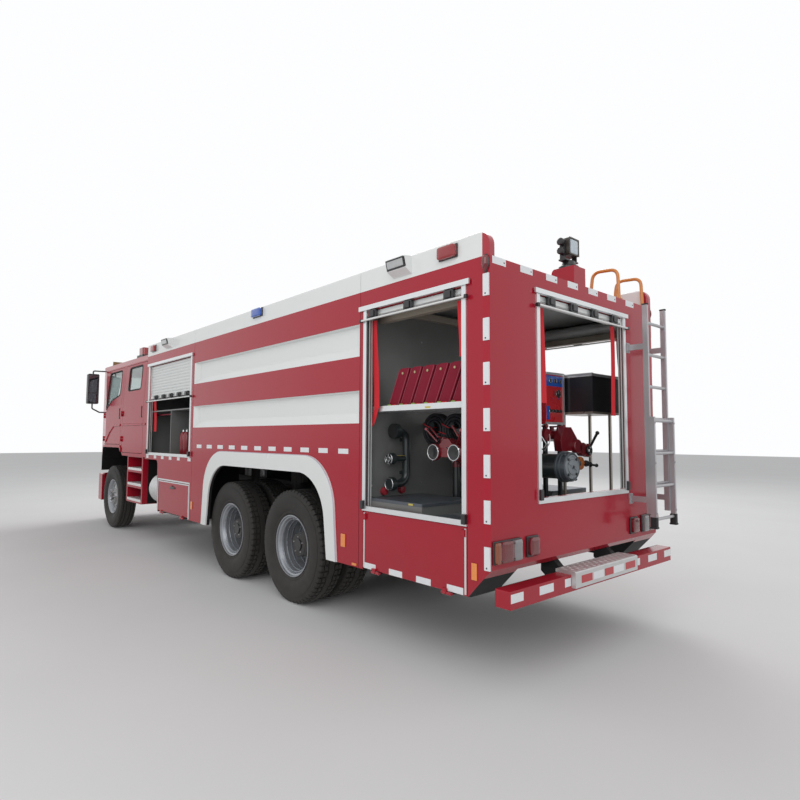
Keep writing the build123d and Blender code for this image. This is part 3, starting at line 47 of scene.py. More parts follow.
# Camera: stands behind the left tail corner at eye height, looking forward along
# the left side, a wide lens turned a little upwards.
BEHIND, ASIDE, EYE_HEIGHT = 2.482, 4.2459, 1.6581
yaw, pitch, roll = -0.7281, 0.0659, 0.0044
look = np.array([np.cos(yaw) * np.cos(pitch), np.sin(yaw) * np.cos(pitch), np.sin(pitch)])
level_right = np.array([np.sin(yaw), -np.cos(yaw), 0.0])
level_up = np.cross(level_right, look)
cam_right = level_right * np.cos(roll) + level_up * np.sin(roll)
cam_up = level_up * np.cos(roll) - level_right * np.sin(roll)
lens = bpy.data.cameras.new("camera")
lens.sensor_width = 36.0
lens.lens = 25.79
lens.clip_end = 400.0
camera = bpy.data.objects.new("camera", lens)
turn = np.column_stack([cam_right, cam_up, -look])
eye = (rear_wall - BEHIND, ASIDE, EYE_HEIGHT)
camera.matrix_world = Matrix.Translation(eye) @ Matrix(turn.tolist()).to_4x4()
bpy.context.scene.collection.objects.link(camera)
bpy.context.scene.camera = camera


# Studio: a pale floor that carries the truck's shadow, a soft key lamp high behind
# the right side, a weak fill, and an even sky that the eye and gloss see as white.
def node_of(tree, kind, **values):
    """A new shader node of a kind; values go to the node or to its named inputs.

    A value that is another node's output is linked to the input."""
    made = tree.nodes.new("ShaderNode" + kind)
    for key, value in values.items():
        name = key.replace("_", " ")
        if isinstance(value, bpy.types.NodeSocket):
            tree.links.new(value, made.inputs[name])
        elif name in made.inputs:
            made.inputs[name].default_value = value
        else:
            setattr(made, key, value)
    return made


def calc(tree, operation, *values):
    """One value from one or two, each a number or another node's output."""
    made = node_of(tree, "Math", operation=operation)
    for socket, value in zip(made.inputs, values):
        if isinstance(value, bpy.types.NodeSocket):
            tree.links.new(value, socket)
        else:
            socket.default_value = value
    return made.outputs["Value"]


def ramp(tree, value, start, end, low=0.0, high=1.0):
    """A straight line: start where value is low, end where it is high, level outside."""
    line = node_of(tree, "MapRange", Value=value, From_Min=low, From_Max=high, To_Min=start, To_Max=end)
    return line.outputs["Result"]


def where(tree):
    """The object's own coordinates, which are the truck's."""
    return node_of(tree, "TexCoord").outputs["Object"]


FLOOR_SIZE = 60.0
floor_mesh = bpy.data.meshes.new("studio_floor")
corners = [(FLOOR_SIZE * x, FLOOR_SIZE * y, 0.0) for x, y in ((-1, -1), (1, -1), (1, 1), (-1, 1))]
floor_mesh.from_pydata(corners, [], [(0, 1, 2, 3)])
studio_floor = bpy.data.objects.new("studio_floor", floor_mesh)
bpy.context.scene.collection.objects.link(studio_floor)
ground = bpy.data.materials.new("pale_floor")
ground.use_nodes = True
tree = ground.node_tree
tree.nodes.clear()
mottle = node_of(tree, "TexNoise", Vector=where(tree), Scale=0.6, Detail=6.0)
diffuse = node_of(tree, "BsdfDiffuse", Color=ramp(tree, mottle.outputs["Fac"], 0.72, 0.78))
white = node_of(tree, "Emission", Color=(0.86, 0.86, 0.85, 1.0), Strength=1.0)
paths = node_of(tree, "LightPath")
keep = node_of(tree, "MixShader", Fac=calc(tree, "MULTIPLY", paths.outputs["Is Glossy Ray"], 0.25))
tree.links.new(diffuse.outputs["BSDF"], keep.inputs[1])
tree.links.new(white.outputs["Emission"], keep.inputs[2])
node_of(tree, "OutputMaterial", Surface=keep.outputs["Shader"])
floor_mesh.materials.append(ground)

world = bpy.data.worlds.new("studio")
bpy.context.scene.world = world
world.use_nodes = True
tree = world.node_tree
tree.nodes.clear()
SKY_LIGHT = 0.62
paths = node_of(tree, "LightPath").outputs
seen = calc(tree, "MAXIMUM", paths["Is Camera Ray"], paths["Is Glossy Ray"])
seen = calc(tree, "MAXIMUM", seen, paths["Is Transmission Ray"])
sky = node_of(tree, "Background", Color=(0.985, 0.99, 1.0, 1.0), Strength=ramp(tree, seen, SKY_LIGHT, 1.0))
node_of(tree, "OutputWorld", Surface=sky.outputs["Background"])

for name, spot, size, power in (("key", (5.0, -9.0, 13.0), 9.0, 900.0),
        ("fill", (-9.0, 9.0, 7.0), 10.0, 420.0)):
    lamp = bpy.data.lights.new(name, "AREA")
    lamp.size = size
    lamp.energy = power
    stand = bpy.data.objects.new(name, lamp)
    stand.location = spot
    stand.rotation_euler = (-Vector(spot)).to_track_quat("-Z", "Y").to_euler()
    bpy.context.scene.collection.objects.link(stand)
bpy.context.scene.view_settings.view_transform = "Standard"


# Red body panels: pressed sheet steel with glossy crimson enamel over primer. The
# enamel has a faint orange peel and road dust low down on the skirts.
def finish(name, colour, rough=0.5, metal=0.0, coat=0.0, mottling=(0.1, 2.5), grain=None,
        stretch=(1.0, 1.0, 1.0), rough_spread=0.06):
    """A surface whose colour, roughness and relief each follow their own noise.

    Colour runs from darker to lighter about the given tone by mottling (share, scale),
    roughness by rough_spread, and grain is the fine relief (millimetres, scale)."""
    made = bpy.data.materials.new(name)
    made.use_nodes = True
    tree = made.node_tree
    shader = inputs_of(made)
    shader["Metallic"].default_value = metal
    shader["Coat Weight"].default_value = coat
    shader["Coat Roughness"].default_value = 0.04
    along = node_of(tree, "Mapping", Vector=where(tree), Scale=stretch).outputs["Vector"]
    share, scale = mottling
    cloud = node_of(tree, "TexNoise", Vector=along, Scale=scale, Detail=5.0, Roughness=0.6).outputs["Fac"]
    tone = node_of(tree, "Mix", data_type="RGBA", Factor=cloud)
    tone.inputs[6].default_value = tuple(c * (1.0 - share) for c in colour) + (1.0,)
    tone.inputs[7].default_value = tuple(min(c * (1.0 + share), 1.0) for c in colour) + (1.0,)
    tree.links.new(tone.outputs[2], shader["Base Color"])
    sheen = ramp(tree, cloud, max(rough - rough_spread, 0.02), min(rough + rough_spread, 1.0))
    tree.links.new(sheen, shader["Roughness"])
    if grain:
        fine = node_of(tree, "TexNoise", Vector=along, Scale=grain[1], Detail=3.0)
        emboss(made, fine.outputs["Fac"], 0.5, grain[0] * 0.001)
    return made


def inputs_of(made):
    """The sockets of a surface's own shader."""
    return made.node_tree.nodes["Principled BSDF"].inputs


def emboss(made, height, strength, depth):
    """Relief from a height pattern, depth in metres."""
    relief = node_of(made.node_tree, "Bump", Strength=strength, Distance=depth, Height=height)
    made.node_tree.links.new(relief.outputs["Normal"], inputs_of(made)["Normal"])


def repaint(made, second, mask):
    """Puts a second colour over the surface's own where mask is 1."""
    tree = made.node_tree
    base = inputs_of(made)["Base Color"]
    over = node_of(tree, "Mix", data_type="RGBA", Factor=mask)
    tree.links.new(base.links[0].from_socket, over.inputs[6])
    over.inputs[7].default_value = tuple(second) + (1.0,)
    tree.links.new(over.outputs[2], base)
    return made


def soiled(made, second, strength, scale, detail=6.0):
    """Blotches of a second colour: noise times strength, a number or a node's output."""
    tree = made.node_tree
    cloud = node_of(tree, "TexNoise", Vector=where(tree), Scale=scale, Detail=detail)
    return repaint(made, second, calc(tree, "MULTIPLY", strength, cloud.outputs["Fac"]))


def by_height(made, *line):
    """A straight line (start, end, low, high) over the height above the ground."""
    return ramp(made.node_tree, axes_of(made.node_tree)["Z"], *line)


def axes_of(tree, source=None):
    """The object's coordinates, or another vector, as three separate values."""
    return node_of(tree, "SeparateXYZ", Vector=where(tree) if source is None else source).outputs


def band(tree, value, low, high):
    """1 where low < value < high, else 0: the product of two comparisons."""
    return calc(tree, "MULTIPLY", calc(tree, "GREATER_THAN", value, low),
        calc(tree, "LESS_THAN", value, high))


def within(made, **limits):
    """1 inside a box given by limits on X from the rear wall, Y, Z and side, which is |Y|."""
    tree = made.node_tree
    axes = axes_of(tree)
    mask = 1.0
    for axis, (low, high) in limits.items():
        value = calc(tree, "ABSOLUTE", axes["Y"]) if axis == "side" else axes[axis]
        shift = rear_wall if axis == "X" else 0.0
        mask = calc(tree, "MULTIPLY", mask, band(tree, value, shift + low, shift + high))
    return mask


RED = (0.4, 0.009, 0.026)
DUSTY_RED = (0.3, 0.05, 0.05)
BELOW_BLACK = (0.012, 0.012, 0.013)


def body_red(name, coat=0.12, shine=0.32):
    """The truck's crimson enamel in a material of its own, with road dust low down."""
    made = finish(name, RED, rough=0.2, coat=coat, mottling=(0.05, 0.7), grain=(0.02, 90.0),
        rough_spread=0.05)
    inputs_of(made)["Specular IOR Level"].default_value = shine
    return soiled(made, DUSTY_RED, by_height(made, 0.4, 0.0, 0.45, 1.15), 5.0)


# Dull black paint on what lies inside the given sides and below a given height, used on the cab, the rear
# bar, the tank and both bays.
def blacked_below(made, x0, x1, half_width, top):
    """Paints dull black what lies within x0..x1 and half_width, lower than top."""
    inside = within(made, X=(x0, x1), side=(-1.0, half_width), Z=(-1.0, top))
    repaint(made, BELOW_BLACK, inside)
    tree = made.node_tree
    sheen = inputs_of(made)["Roughness"]
    dull = calc(tree, "MAXIMUM", sheen.links[0].from_socket, calc(tree, "MULTIPLY", inside, 0.9))
    tree.links.new(dull, sheen)
    return made


red_enamel, door_enamel = body_red("red_enamel"), body_red("door_enamel", 0.04, 0.2)


def dress(node, surface):
    """Gives a CAD node its material in every slot."""
    for place in nodes[node].material_slots:
        place.material = surface


SIDES = ("left", "right")
dress("front_bumper", red_enamel)
for side in SIDES:
    for part in ("step_flap", "skirt_door", "door_front", "door_rear"):
        dress(f"{part}_{side}", door_enamel if part.startswith("door") else red_enamel)
cab_enamel = blacked_below(body_red("cab_enamel", 0.04, 0.2), 6.9, 10.4, 0.94, 1.5)
cab_enamel = blacked_below(cab_enamel, 6.9, 7.195, 1.075, 1.32)
dress("cab_shell", blacked_below(cab_enamel, 8.02, 9.75, 1.16, 1.5))
dress("rear_bar", blacked_below(body_red("bar_enamel"), -0.02, 1.0, 1.3, 1.0))

# Tank section: the same enamel, with the two pressed channels of each side white.
WHITE = (0.8, 0.82, 0.81)
tank_enamel = blacked_below(body_red("tank_enamel"), 0.0, 6.0, 1.2235, 1.5)
low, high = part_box("tank_body")
length = (low[0] + 0.0075 - rear_wall, high[0] - 0.0075 - rear_wall)
for channel in ((1.7815, 2.0635), (2.3615, 2.6435)):
    repaint(tank_enamel, WHITE, within(tank_enamel, Z=channel, X=length))
dress("tank_body", tank_enamel)

# White enamel: the roof coaming lengths and the arch trims, with painted shade, a lilac
# grey, on each trim face that slopes. The coaming's tail ends are painted red with the tail wall.
arch_enamel, coaming_enamel = (finish(name, WHITE, rough=0.25, coat=0.4, mottling=(0.03, 2.5),
    grain=(0.02, 90.0)) for name in ("arch_enamel", "coaming_enamel"))
tree = arch_enamel.node_tree
# Painted shade: lilac grey on the trim faces that slope, picked by their normal.
shade_normal = axes_of(tree, node_of(tree, "NewGeometry").outputs["Normal"])
repaint(arch_enamel, (0.47, 0.45, 0.52), band(tree, calc(tree, "ABSOLUTE", shade_normal["Y"]), 0.3, 0.9))
dress("arch_trims", arch_enamel)
CORNER_STRIP = 0.055
repaint(coaming_enamel, RED, within(coaming_enamel, X=(-9.0, CORNER_STRIP)))
dress("roof_coamings", coaming_enamel)

# Reflectors: white retro-reflective tape cut in strips, stuck along the tail corner,
# the roof edge, both flanks, the flap's lower edge and the rear bar.
SMOOTH_BELOW, BEVEL_ABOVE = 0.65, 0.6


def piece(name, shape, surface, slot, bevel=0.0, smooth=False, hides=(), body="truck"):
    """Makes one object of (points, faces) measured from the rear wall.

    Doubled points are merged, faces turned outwards, and an optional bevel rounds
    every edge sharper than BEVEL_ABOVE (radians) by the given width in metres."""
    points, faces = shape
    points = np.array(points, float) + (rear_wall, 0.0, 0.0)
    mesh = bpy.data.meshes.new(name)
    mesh.from_pydata(points, [], faces)
    work = bmesh.new()
    work.from_mesh(mesh)
    bmesh.ops.remove_doubles(work, verts=work.verts, dist=2e-5)
    bmesh.ops.dissolve_degenerate(work, dist=1e-6, edges=work.edges)
    bmesh.ops.recalc_face_normals(work, faces=work.faces)
    work.to_mesh(mesh)
    work.free()
    mesh.materials.append(surface)
    made = bpy.data.objects.new(name, mesh)
    bpy.context.scene.collection.objects.link(made)
    if smooth:
        mesh.shade_smooth()
        mesh.set_sharp_from_angle(angle=SMOOTH_BELOW)
    if bevel:
        rounding = made.modifiers.new("edge", "BEVEL")
        rounding.width = bevel
        rounding.segments = 2
        rounding.limit_method = "ANGLE"
        rounding.angle_limit = BEVEL_ABOVE
    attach(made, body)
    if hides:
        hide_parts(*hides)
    return made


def blocks(rows):
    """Many boxes at once, from rows of (x0, x1, y0, y1, z0, z1).

    Corner c of a box takes the lower or upper value of each axis by the bits of c."""
    rows = np.array(rows, float)
    bits = np.array([[c & 1, c >> 1 & 1, c >> 2 & 1] for c in range(8)])
    points = np.stack([rows[:, [0, 1]][:, bits[:, 0]], rows[:, [2, 3]][:, bits[:, 1]],
        rows[:, [4, 5]][:, bits[:, 2]]], axis=-1).reshape(-1, 3)
    sides = np.array([(0, 4, 6, 2), (1, 3, 7, 5), (0, 1, 5, 4), (2, 6, 7, 3), (0, 2, 3, 1), (4, 5, 7, 6)])
    faces = (sides[None] + 8 * np.arange(len(rows))[:, None, None]).reshape(-1, 4)
    return points, faces.tolist()


def join(*shapes):
    """Several shapes as one: their points stacked and their faces renumbered."""
    starts = np.cumsum([0] + [len(points) for points, _ in shapes])
    faces = [[start + i for i in face] for start, (_, faces) in zip(starts, shapes) for face in faces]
    return np.concatenate([points for points, _ in shapes]), faces


def mirrored(shape):
    """The right-hand copy of a left-hand shape: y changes sign, faces turn round."""
    points, faces = shape
    return points * (1.0, -1.0, 1.0), [face[::-1] for face in faces]


def both(*shapes):
    """Left-hand shapes with their right-hand copies."""
    shape = join(*shapes)
    return join(shape, mirrored(shape))


def sided(name, shape, surface, slot, body, hides=(), **more):
    """A left-hand piece and its right-hand copy, each riding its own side's body."""
    for side, hand in zip(SIDES, (1, -1)):
        piece(f"{name}_{side}", shape if hand > 0 else mirrored(shape), surface, slot, body=f"{body}_{side}",
            hides=tuple(f"{node}_{side}" for node in hides), **more)


tape = finish("reflective_tape", (0.8, 0.82, 0.84), rough=0.32, coat=0.3, mottling=(0.06, 40.0),
    grain=(0.03, 900.0))
tree = tape.node_tree
cells = node_of(tree, "TexVoronoi", Vector=where(tree), Scale=140.0)
emboss(tape, cells.outputs["Distance"], 0.25, 0.0004)
TAPE_T = 0.0012
HALF_WIDTH = 1.225
CORNER_Z = (2.716, 2.405, 2.099, 1.784, 1.468, 1.162, 0.853)
ROOF_EDGE_Y = (1.11, 0.79, 0.465, 0.165, -0.15, -0.46, -0.79)


def flank_rows(stations, half, low, high):
    """Tape strips on the left flank, half long to either side of each station."""
    return [(x - half, x + half, HALF_WIDTH, HALF_WIDTH + TAPE_T, low, high) for x in stations]


side_rows = [(0.003, 0.052, HALF_WIDTH - 0.014, HALF_WIDTH + TAPE_T, z - 0.078, z + 0.078) for z in CORNER_Z]
roof_rows = [(-TAPE_T, 0.0, y - 0.075, y + 0.075, 2.868, 2.9205) for y in ROOF_EDGE_Y]
tape_rows = flank_rows(np.linspace(1.66, 4.82, 11), 0.075, 1.515, 1.56)
tape_rows += flank_rows((6.79, 6.45, 6.14, 5.83, 5.52, 5.14), 0.05, 1.332, 1.378)
piece("reflector_tape_body", join(both(blocks(side_rows)), blocks(roof_rows), both(blocks(tape_rows))), tape,
    "white_paint")
sided("reflector_tape_flap", blocks(flank_rows((1.274, 0.951, 0.637, 0.318), 0.078, 0.575, 0.622)), tape,
    "white_paint", "rear_step_flap")

# Round dark rivets hold the tapes of the tail corner and of the tail's roof edge, one
# at an end of each strip.
rivet_dark = finish("rivet_dark", (0.05, 0.05, 0.06), rough=0.4, metal=0.6)


def angles(count, start=0.0):
    """Even angles all the way round."""
    return start + np.arange(count) * 2 * np.pi / count


def discs(centres, axis, radius, height, count=10):
    """Short round studs: one ring of points per end, round each centre, along one axis."""
    centres = np.array(centres, float)
    angle = angles(count)
    across = [a for a in range(3) if a != axis]
    ring = np.zeros((2, count, 3))
    ring[:, :, across[0]] = radius * np.cos(angle)
    ring[:, :, across[1]] = radius * np.sin(angle)
    ring[0, :, axis] = -height / 2
    ring[1, :, axis] = height / 2
    points = (centres[:, None, None, :] + ring[None]).reshape(-1, 3)
    one = [list(range(count))[::-1], [count + i for i in range(count)]]
    one += [[i, (i + 1) % count, count + (i + 1) % count, count + i] for i in range(count)]
    faces = [[2 * count * k + i for i in face] for k in range(len(centres)) for face in one]
    return points, faces


rivets = discs([(0.03, HALF_WIDTH + TAPE_T, z - 0.062) for z in CORNER_Z], 1, 0.006, 0.003)
roof_rivets = discs([(-TAPE_T, y - 0.055, 2.892) for y in ROOF_EDGE_Y], 0, 0.006, 0.003)
piece("tape_rivets", join(both(rivets), roof_rivets), rivet_dark, "frame_black")

# Amber side markers: small moulded lenses on the flanks, above the skirt edge.
amber = finish("amber_lens", (0.86, 0.28, 0.06), rough=0.18, coat=0.6, mottling=(0.12, 60.0),
    grain=(0.2, 500.0))
amber_rows = [(x0, x1, HALF_WIDTH, HALF_WIDTH + 0.01, z0, z1) for x0, x1, z0, z1 in (
    (1.612, 1.674, 0.705, 0.817), (0.112, 0.159, 0.695, 0.809), (1.45, 1.51, 0.571, 0.592),
    (4.985, 5.035, 0.71, 0.81))]
piece("side_markers", both(blocks(amber_rows)), amber, "hoop_orange", bevel=0.004)

# Aluminium: extruded trims, shutters, shelves, steps and the ladder, satin with the
# fine lengthwise lines that the die leaves.
aluminium = finish("aluminium", (0.74, 0.76, 0.77), rough=0.34, metal=0.75, mottling=(0.05, 6.0),
    grain=(0.05, 240.0), stretch=(0.2, 1.0, 1.0), rough_spread=0.08)
dress("opening_trims", aluminium)
ladder_alloy = finish("ladder_alloy", (0.46, 0.455, 0.47), rough=0.38, metal=0.7, mottling=(0.1, 5.0),
    grain=(0.05, 240.0), stretch=(1.0, 1.0, 0.2), rough_spread=0.1)
for name in ("ladder_upper", "ladder_lower"):
    dress(name, ladder_alloy)

# Shutters: interlocking rounded slats, a little duller than the trims.
shutter_alloy = finish("shutter_alloy", (0.68, 0.7, 0.69), rough=0.42, metal=0.55, mottling=(0.05, 4.0),
    grain=(0.05, 200.0))
dress("roller_shutters", shutter_alloy)

# Catches: black moulded blocks on each shutter's bottom rail, and the white bar that
# is pushed up to free them, in black end clips.
catch_black = finish("catch_black", (0.018, 0.018, 0.02), rough=0.38, coat=0.2, mottling=(0.2, 2.5),
    grain=(0.1, 700.0))


def pipe(path, radius, count=12, side=(0.0, 0.0, 1.0)):
    """A round rod along a path: rings of points about each station, closed at the ends.

    Each ring stands across the path's direction; side must not lie along the path."""
    path = np.array(path, float)
    run = np.gradient(path, axis=0)
    run /= np.linalg.norm(run, axis=1, keepdims=True)
    first = np.array(side, float) - run * (run @ np.array(side, float))[:, None]
    first /= np.linalg.norm(first, axis=1, keepdims=True)
    second = np.cross(run, first)
    angle = angles(count)
    radius = np.broadcast_to(radius, len(path))[:, None, None]
    ring = first[:, None] * np.cos(angle)[None, :, None] + second[:, None] * np.sin(angle)[None, :, None]
    points = (path[:, None] + radius * ring).reshape(-1, 3)
    faces = skin(len(path), count)
    faces.append(list(range(count))[::-1])
    faces.append([(len(path) - 1) * count + i for i in range(count)])
    return points, faces


def skin(rows, columns):
    """Four-sided faces of a grid of points whose last column joins the first."""
    here = np.arange(rows * columns).reshape(rows, columns)
    after = np.roll(here, -1, axis=1)
    return np.stack([here[:-1], after[:-1], after[1:], here[1:]], axis=-1).reshape(-1, 4).tolist()


def rounded_path(points, bend, steps=6):
    """A polyline whose corners are replaced by short parabolas that start bend away."""
    points = np.array(points, float)
    out = [points[:1]]
    t = np.linspace(0.0, 1.0, steps)[:, None]
    for a, b, c in zip(points[:-2], points[1:-1], points[2:]):
        reach = min(bend, 0.49 * np.linalg.norm(b - a), 0.49 * np.linalg.norm(c - b))
        p = b + (a - b) / np.linalg.norm(a - b) * reach
        q = b + (c - b) / np.linalg.norm(c - b) * reach
        out.append((1 - t) ** 2 * p + 2 * t * (1 - t) * b + t ** 2 * q)
    out.append(points[-1:])
    return np.concatenate(out)


catch_rows, bar_paths, clip_rows = [], [], []
for centres, ends, z in (((0.365, 0.805, 1.245), (0.185, 1.388), 2.7),
        ((5.27, 5.56, 5.86, 6.16, 6.48), (5.085, 6.825), 2.245)):
    for x in centres:
        catch_rows += [(x - 0.048, x + 0.048, 1.216, 1.246, z - 0.038, z + 0.04),
            (x - 0.03, x + 0.03, 1.246, 1.256, z - 0.022, z + 0.03)]
    bar_paths.append(pipe([(x, 1.252, z - 0.042) for x in ends], 0.009))
    clip_rows += [(x - 0.012, x + 0.012, 1.237, 1.264, z - 0.056, z - 0.028) for x in ends]
tail_rows = []
for y in (0.495, 0.176, -0.146, -0.474):
    tail_rows += [(-0.024, 0.006, y - 0.048, y + 0.048, 2.662, 2.738),
        (-0.034, -0.024, y - 0.03, y + 0.03, 2.678, 2.73)]
TAIL_BAR_ENDS = (-0.69, 0.69)
tail_rows += [(-0.042, -0.012, y - 0.012, y + 0.012, 2.638, 2.666) for y in TAIL_BAR_ENDS]
piece("shutter_catches", join(both(blocks(catch_rows + clip_rows)), blocks(tail_rows)), catch_black,
    "black_plastic", bevel=0.004)
bar_white = finish("bar_white", (0.78, 0.79, 0.78), rough=0.3, metal=0.3, mottling=(0.04, 2.5),
    grain=(0.03, 300.0))
tail_bar = pipe([(-0.03, y, 2.652) for y in TAIL_BAR_ENDS], 0.009)
piece("shutter_bars", join(both(*bar_paths), tail_bar), bar_white, "aluminium", smooth=True)

# Lower stops: black rubber buffers at the foot of each shutter track.
stop_rows = [(x, x + 0.036, 1.226, 1.262, 1.062, 1.133) for x in (0.196, 1.336)]
stop_rows += [(x, x + 0.036, 1.226, 1.262, 1.395, 1.465) for x in (5.098, 6.775)]
tail_stops = [(-0.032, 0.002, y - 0.018, y + 0.018, 1.205, 1.285) for y in (-0.66, 0.66)]
piece("shutter_stops", join(both(blocks(stop_rows)), blocks(tail_stops)), catch_black, "black_plastic",
    bevel=0.006)

# Jamb seals: black rubber brush strips down the inner side of each track.
seal_rubber = finish("seal_rubber", (0.012, 0.012, 0.013), rough=0.8, mottling=(0.2, 2.5),
    grain=(0.2, 500.0))
seal_rows = [(x0, x1, 1.188, 1.224, 1.08, 2.69) for x0, x1 in ((0.2405, 0.252), (1.318, 1.3295))]
seal_rows += [(x0, x1, 1.188, 1.224, 1.425, 2.225) for x0, x1 in ((5.1405, 5.152), (6.758, 6.7695))]
tail_seals = [(0.002, 0.04, y - 0.0065, y + 0.0065, 1.225, 2.66) for y in (-0.6335, 0.6335)]
piece("jamb_seals", join(both(blocks(seal_rows)), blocks(tail_seals)), seal_rubber, "black_plastic")

# Pull straps: red webbing that hangs from both ends of each raised shutter, with a
# slight belly and a folded end.
webbing = finish("red_webbing", (0.66, 0.018, 0.03), rough=0.75, mottling=(0.12, 30.0), grain=(0.5, 1400.0),
    stretch=(1.0, 1.0, 3.0))


def strap(top, foot, across, width, sway, thick=0.003, steps=18):
    """A flat band from top to foot: its middle swings out by a half sine of the fall."""
    t = np.linspace(0.0, 1.0, steps)[:, None]
    top, foot, across = (np.array(v, float) for v in (top, foot, across))
    out = np.cross(across, (0.0, 0.0, 1.0))
    line = top * (1 - t) + foot * t + out * sway * np.sin(np.pi * t)
    line += across * 0.5 * sway * np.sin(2 * np.pi * t)
    half = across * width / 2
    wall = out * thick / 2
    ring = np.stack([line - half - wall, line + half - wall, line + half + wall, line - half + wall], axis=1)
    faces = skin(steps, 4) + [[3, 2, 1, 0], [4 * (steps - 1) + i for i in range(4)]]
    return ring.reshape(-1, 3), faces


along_x, along_y = (1.0, 0.0, 0.0), (0.0, 1.0, 0.0)
side_straps = [strap((0.318, 1.176, 2.66), (0.302, 1.172, 2.25), along_x, 0.034, 0.004),
    strap((1.3, 1.174, 2.66), (1.262, 1.17, 1.905), along_x, 0.066, 0.006),
    strap((1.262, 1.17, 1.91), (1.33, 1.168, 1.775), (0.92, 0.0, 0.39), 0.052, 0.004),
    strap((6.69, 1.172, 2.24), (6.68, 1.16, 1.74), along_x, 0.11, 0.006),
    strap((5.185, 1.172, 2.24), (5.19, 1.16, 1.76), along_x, 0.04, 0.004)]
tail_straps = [strap((0.045, -0.545, 2.66), (0.05, -0.548, 1.875), along_y, 0.066, -0.004),
    strap((0.045, 0.56, 2.66), (0.06, 0.5, 1.93), along_y, 0.075, -0.004)]
piece("pull_straps", join(both(*side_straps), *tail_straps), webbing, "seat_fabric")
hook = blocks([(1.318, 1.352, 1.158, 1.176, 1.752, 1.782)])
tail_hook = blocks([(0.04, 0.06, -0.58, -0.516, 1.862, 1.884)])
piece("strap_ends", join(both(hook), tail_hook), webbing, "seat_fabric", bevel=0.006)

# Tail lamp clusters: an amber, a red and a clear cell under one ribbed lens each
# side, with a separate dark red fog lamp, in black housings screwed to the wall.
def lens_material(name, colour, ribs=160.0, rough=0.16):
    """Moulded lens plastic: tinted, lightly transparent, with vertical optic ribs."""
    made = finish(name, colour, rough=rough, coat=0.7, mottling=(0.15, 25.0), rough_spread=0.03)
    tree = made.node_tree
    waves = node_of(tree, "TexWave", Vector=where(tree), Scale=ribs / 6.283, bands_direction="Y")
    emboss(made, waves.outputs["Fac"], 0.5, 0.0008)
    inputs_of(made)["Transmission Weight"].default_value = 0.25
    return made


lens_red, lens_dark_red, lens_clear, lens_blue, amber_cell, lens_smoke = (lens_material(name, colour)
    for name, colour in (("lens_red", (0.4, 0.008, 0.016)), ("lens_dark_red", (0.2, 0.008, 0.014)),
    ("lens_clear", (0.62, 0.64, 0.64)), ("lens_blue", (0.02, 0.12, 0.62)),
    ("amber_cell", (0.33, 0.075, 0.02)), ("lens_smoke", (0.3, 0.29, 0.3))))


def pillow(x0, x1, y0, y1, z0, z1, axis, bulge, rows=12, power=6.0):
    """A rounded block whose outer face along one axis swells by bulge.

    Both flat parameters run over a square that is drawn towards a superellipse of the
    given power, and the face rises by bulge times (1 - u^4)(1 - v^4)."""
    t = np.linspace(-1.0, 1.0, rows * 2 + 1)
    u, v = np.meshgrid(t, t, indexing="ij")
    reach = (np.abs(u) ** power + np.abs(v) ** power) ** (1.0 / power)
    shrink = np.maximum(np.abs(u), np.abs(v)) / np.maximum(reach, 1e-9)
    a, b = u * shrink, v * shrink
    rise = (1 - a ** 4) * (1 - b ** 4)
    low = np.array([x0, y0, z0])
    high = np.array([x1, y1, z1])
    mid, half = (low + high) / 2, (high - low) / 2
    across = [i for i in range(3) if i != axis]
    outer, inner = (high[axis], low[axis]) if bulge >= 0 else (low[axis], high[axis])
    sheets = []
    for level in (outer + bulge * rise, inner):
        sheet = np.empty(u.shape + (3,))
        sheet[..., across[0]] = mid[across[0]] + half[across[0]] * a
        sheet[..., across[1]] = mid[across[1]] + half[across[1]] * b
        sheet[..., axis] = level
        sheets.append(sheet.reshape(-1, 3))
    n = len(t)
    grid = np.arange(n * n).reshape(n, n)
    quads = np.stack([grid[:-1, :-1], grid[1:, :-1], grid[1:, 1:], grid[:-1, 1:]], axis=-1).reshape(-1, 4)
    rim = np.concatenate([grid[0, :-1], grid[:-1, -1], grid[-1, :0:-1], grid[:0:-1, 0]])
    after = np.roll(rim, -1)
    wall = np.stack([rim, after, after + n * n, rim + n * n], axis=-1)
    faces = quads.tolist() + (quads[:, ::-1] + n * n).tolist() + wall.tolist()
    return np.concatenate(sheets), faces


housing_rows = [(-0.016, -0.001, 0.905, 1.205, 0.812, 0.968), (-0.016, -0.001, 0.695, 0.833, 0.816, 0.964)]
piece("tail_lamp_housings", both(blocks(housing_rows)), catch_black, "black_plastic", bevel=0.006)
for cell, y0, y1, surface, slot in (("amber", 1.15, 1.196, amber_cell, "lens_red"),
        ("red", 1.008, 1.148, lens_dark_red, "lens_red"), ("clear", 0.914, 1.006, lens_smoke, "lens_clear")):
    piece(f"tail_lamp_{cell}", both(pillow(-0.036, -0.014, y0, y1, 0.82, 0.96, 0, -0.006)), surface, slot,
        smooth=True)
piece("tail_fog_lamp", both(pillow(-0.034, -0.014, 0.706, 0.822, 0.826, 0.954, 0, -0.008, power=4.0)),
    lens_dark_red, "lens_red", smooth=True)
screws = discs([(-0.038, y, z) for y in (1.149, 1.007) for z in (0.838, 0.942)], 0, 0.004, 0.006)
piece("tail_lamp_screws", both(screws), rivet_dark, "frame_black")

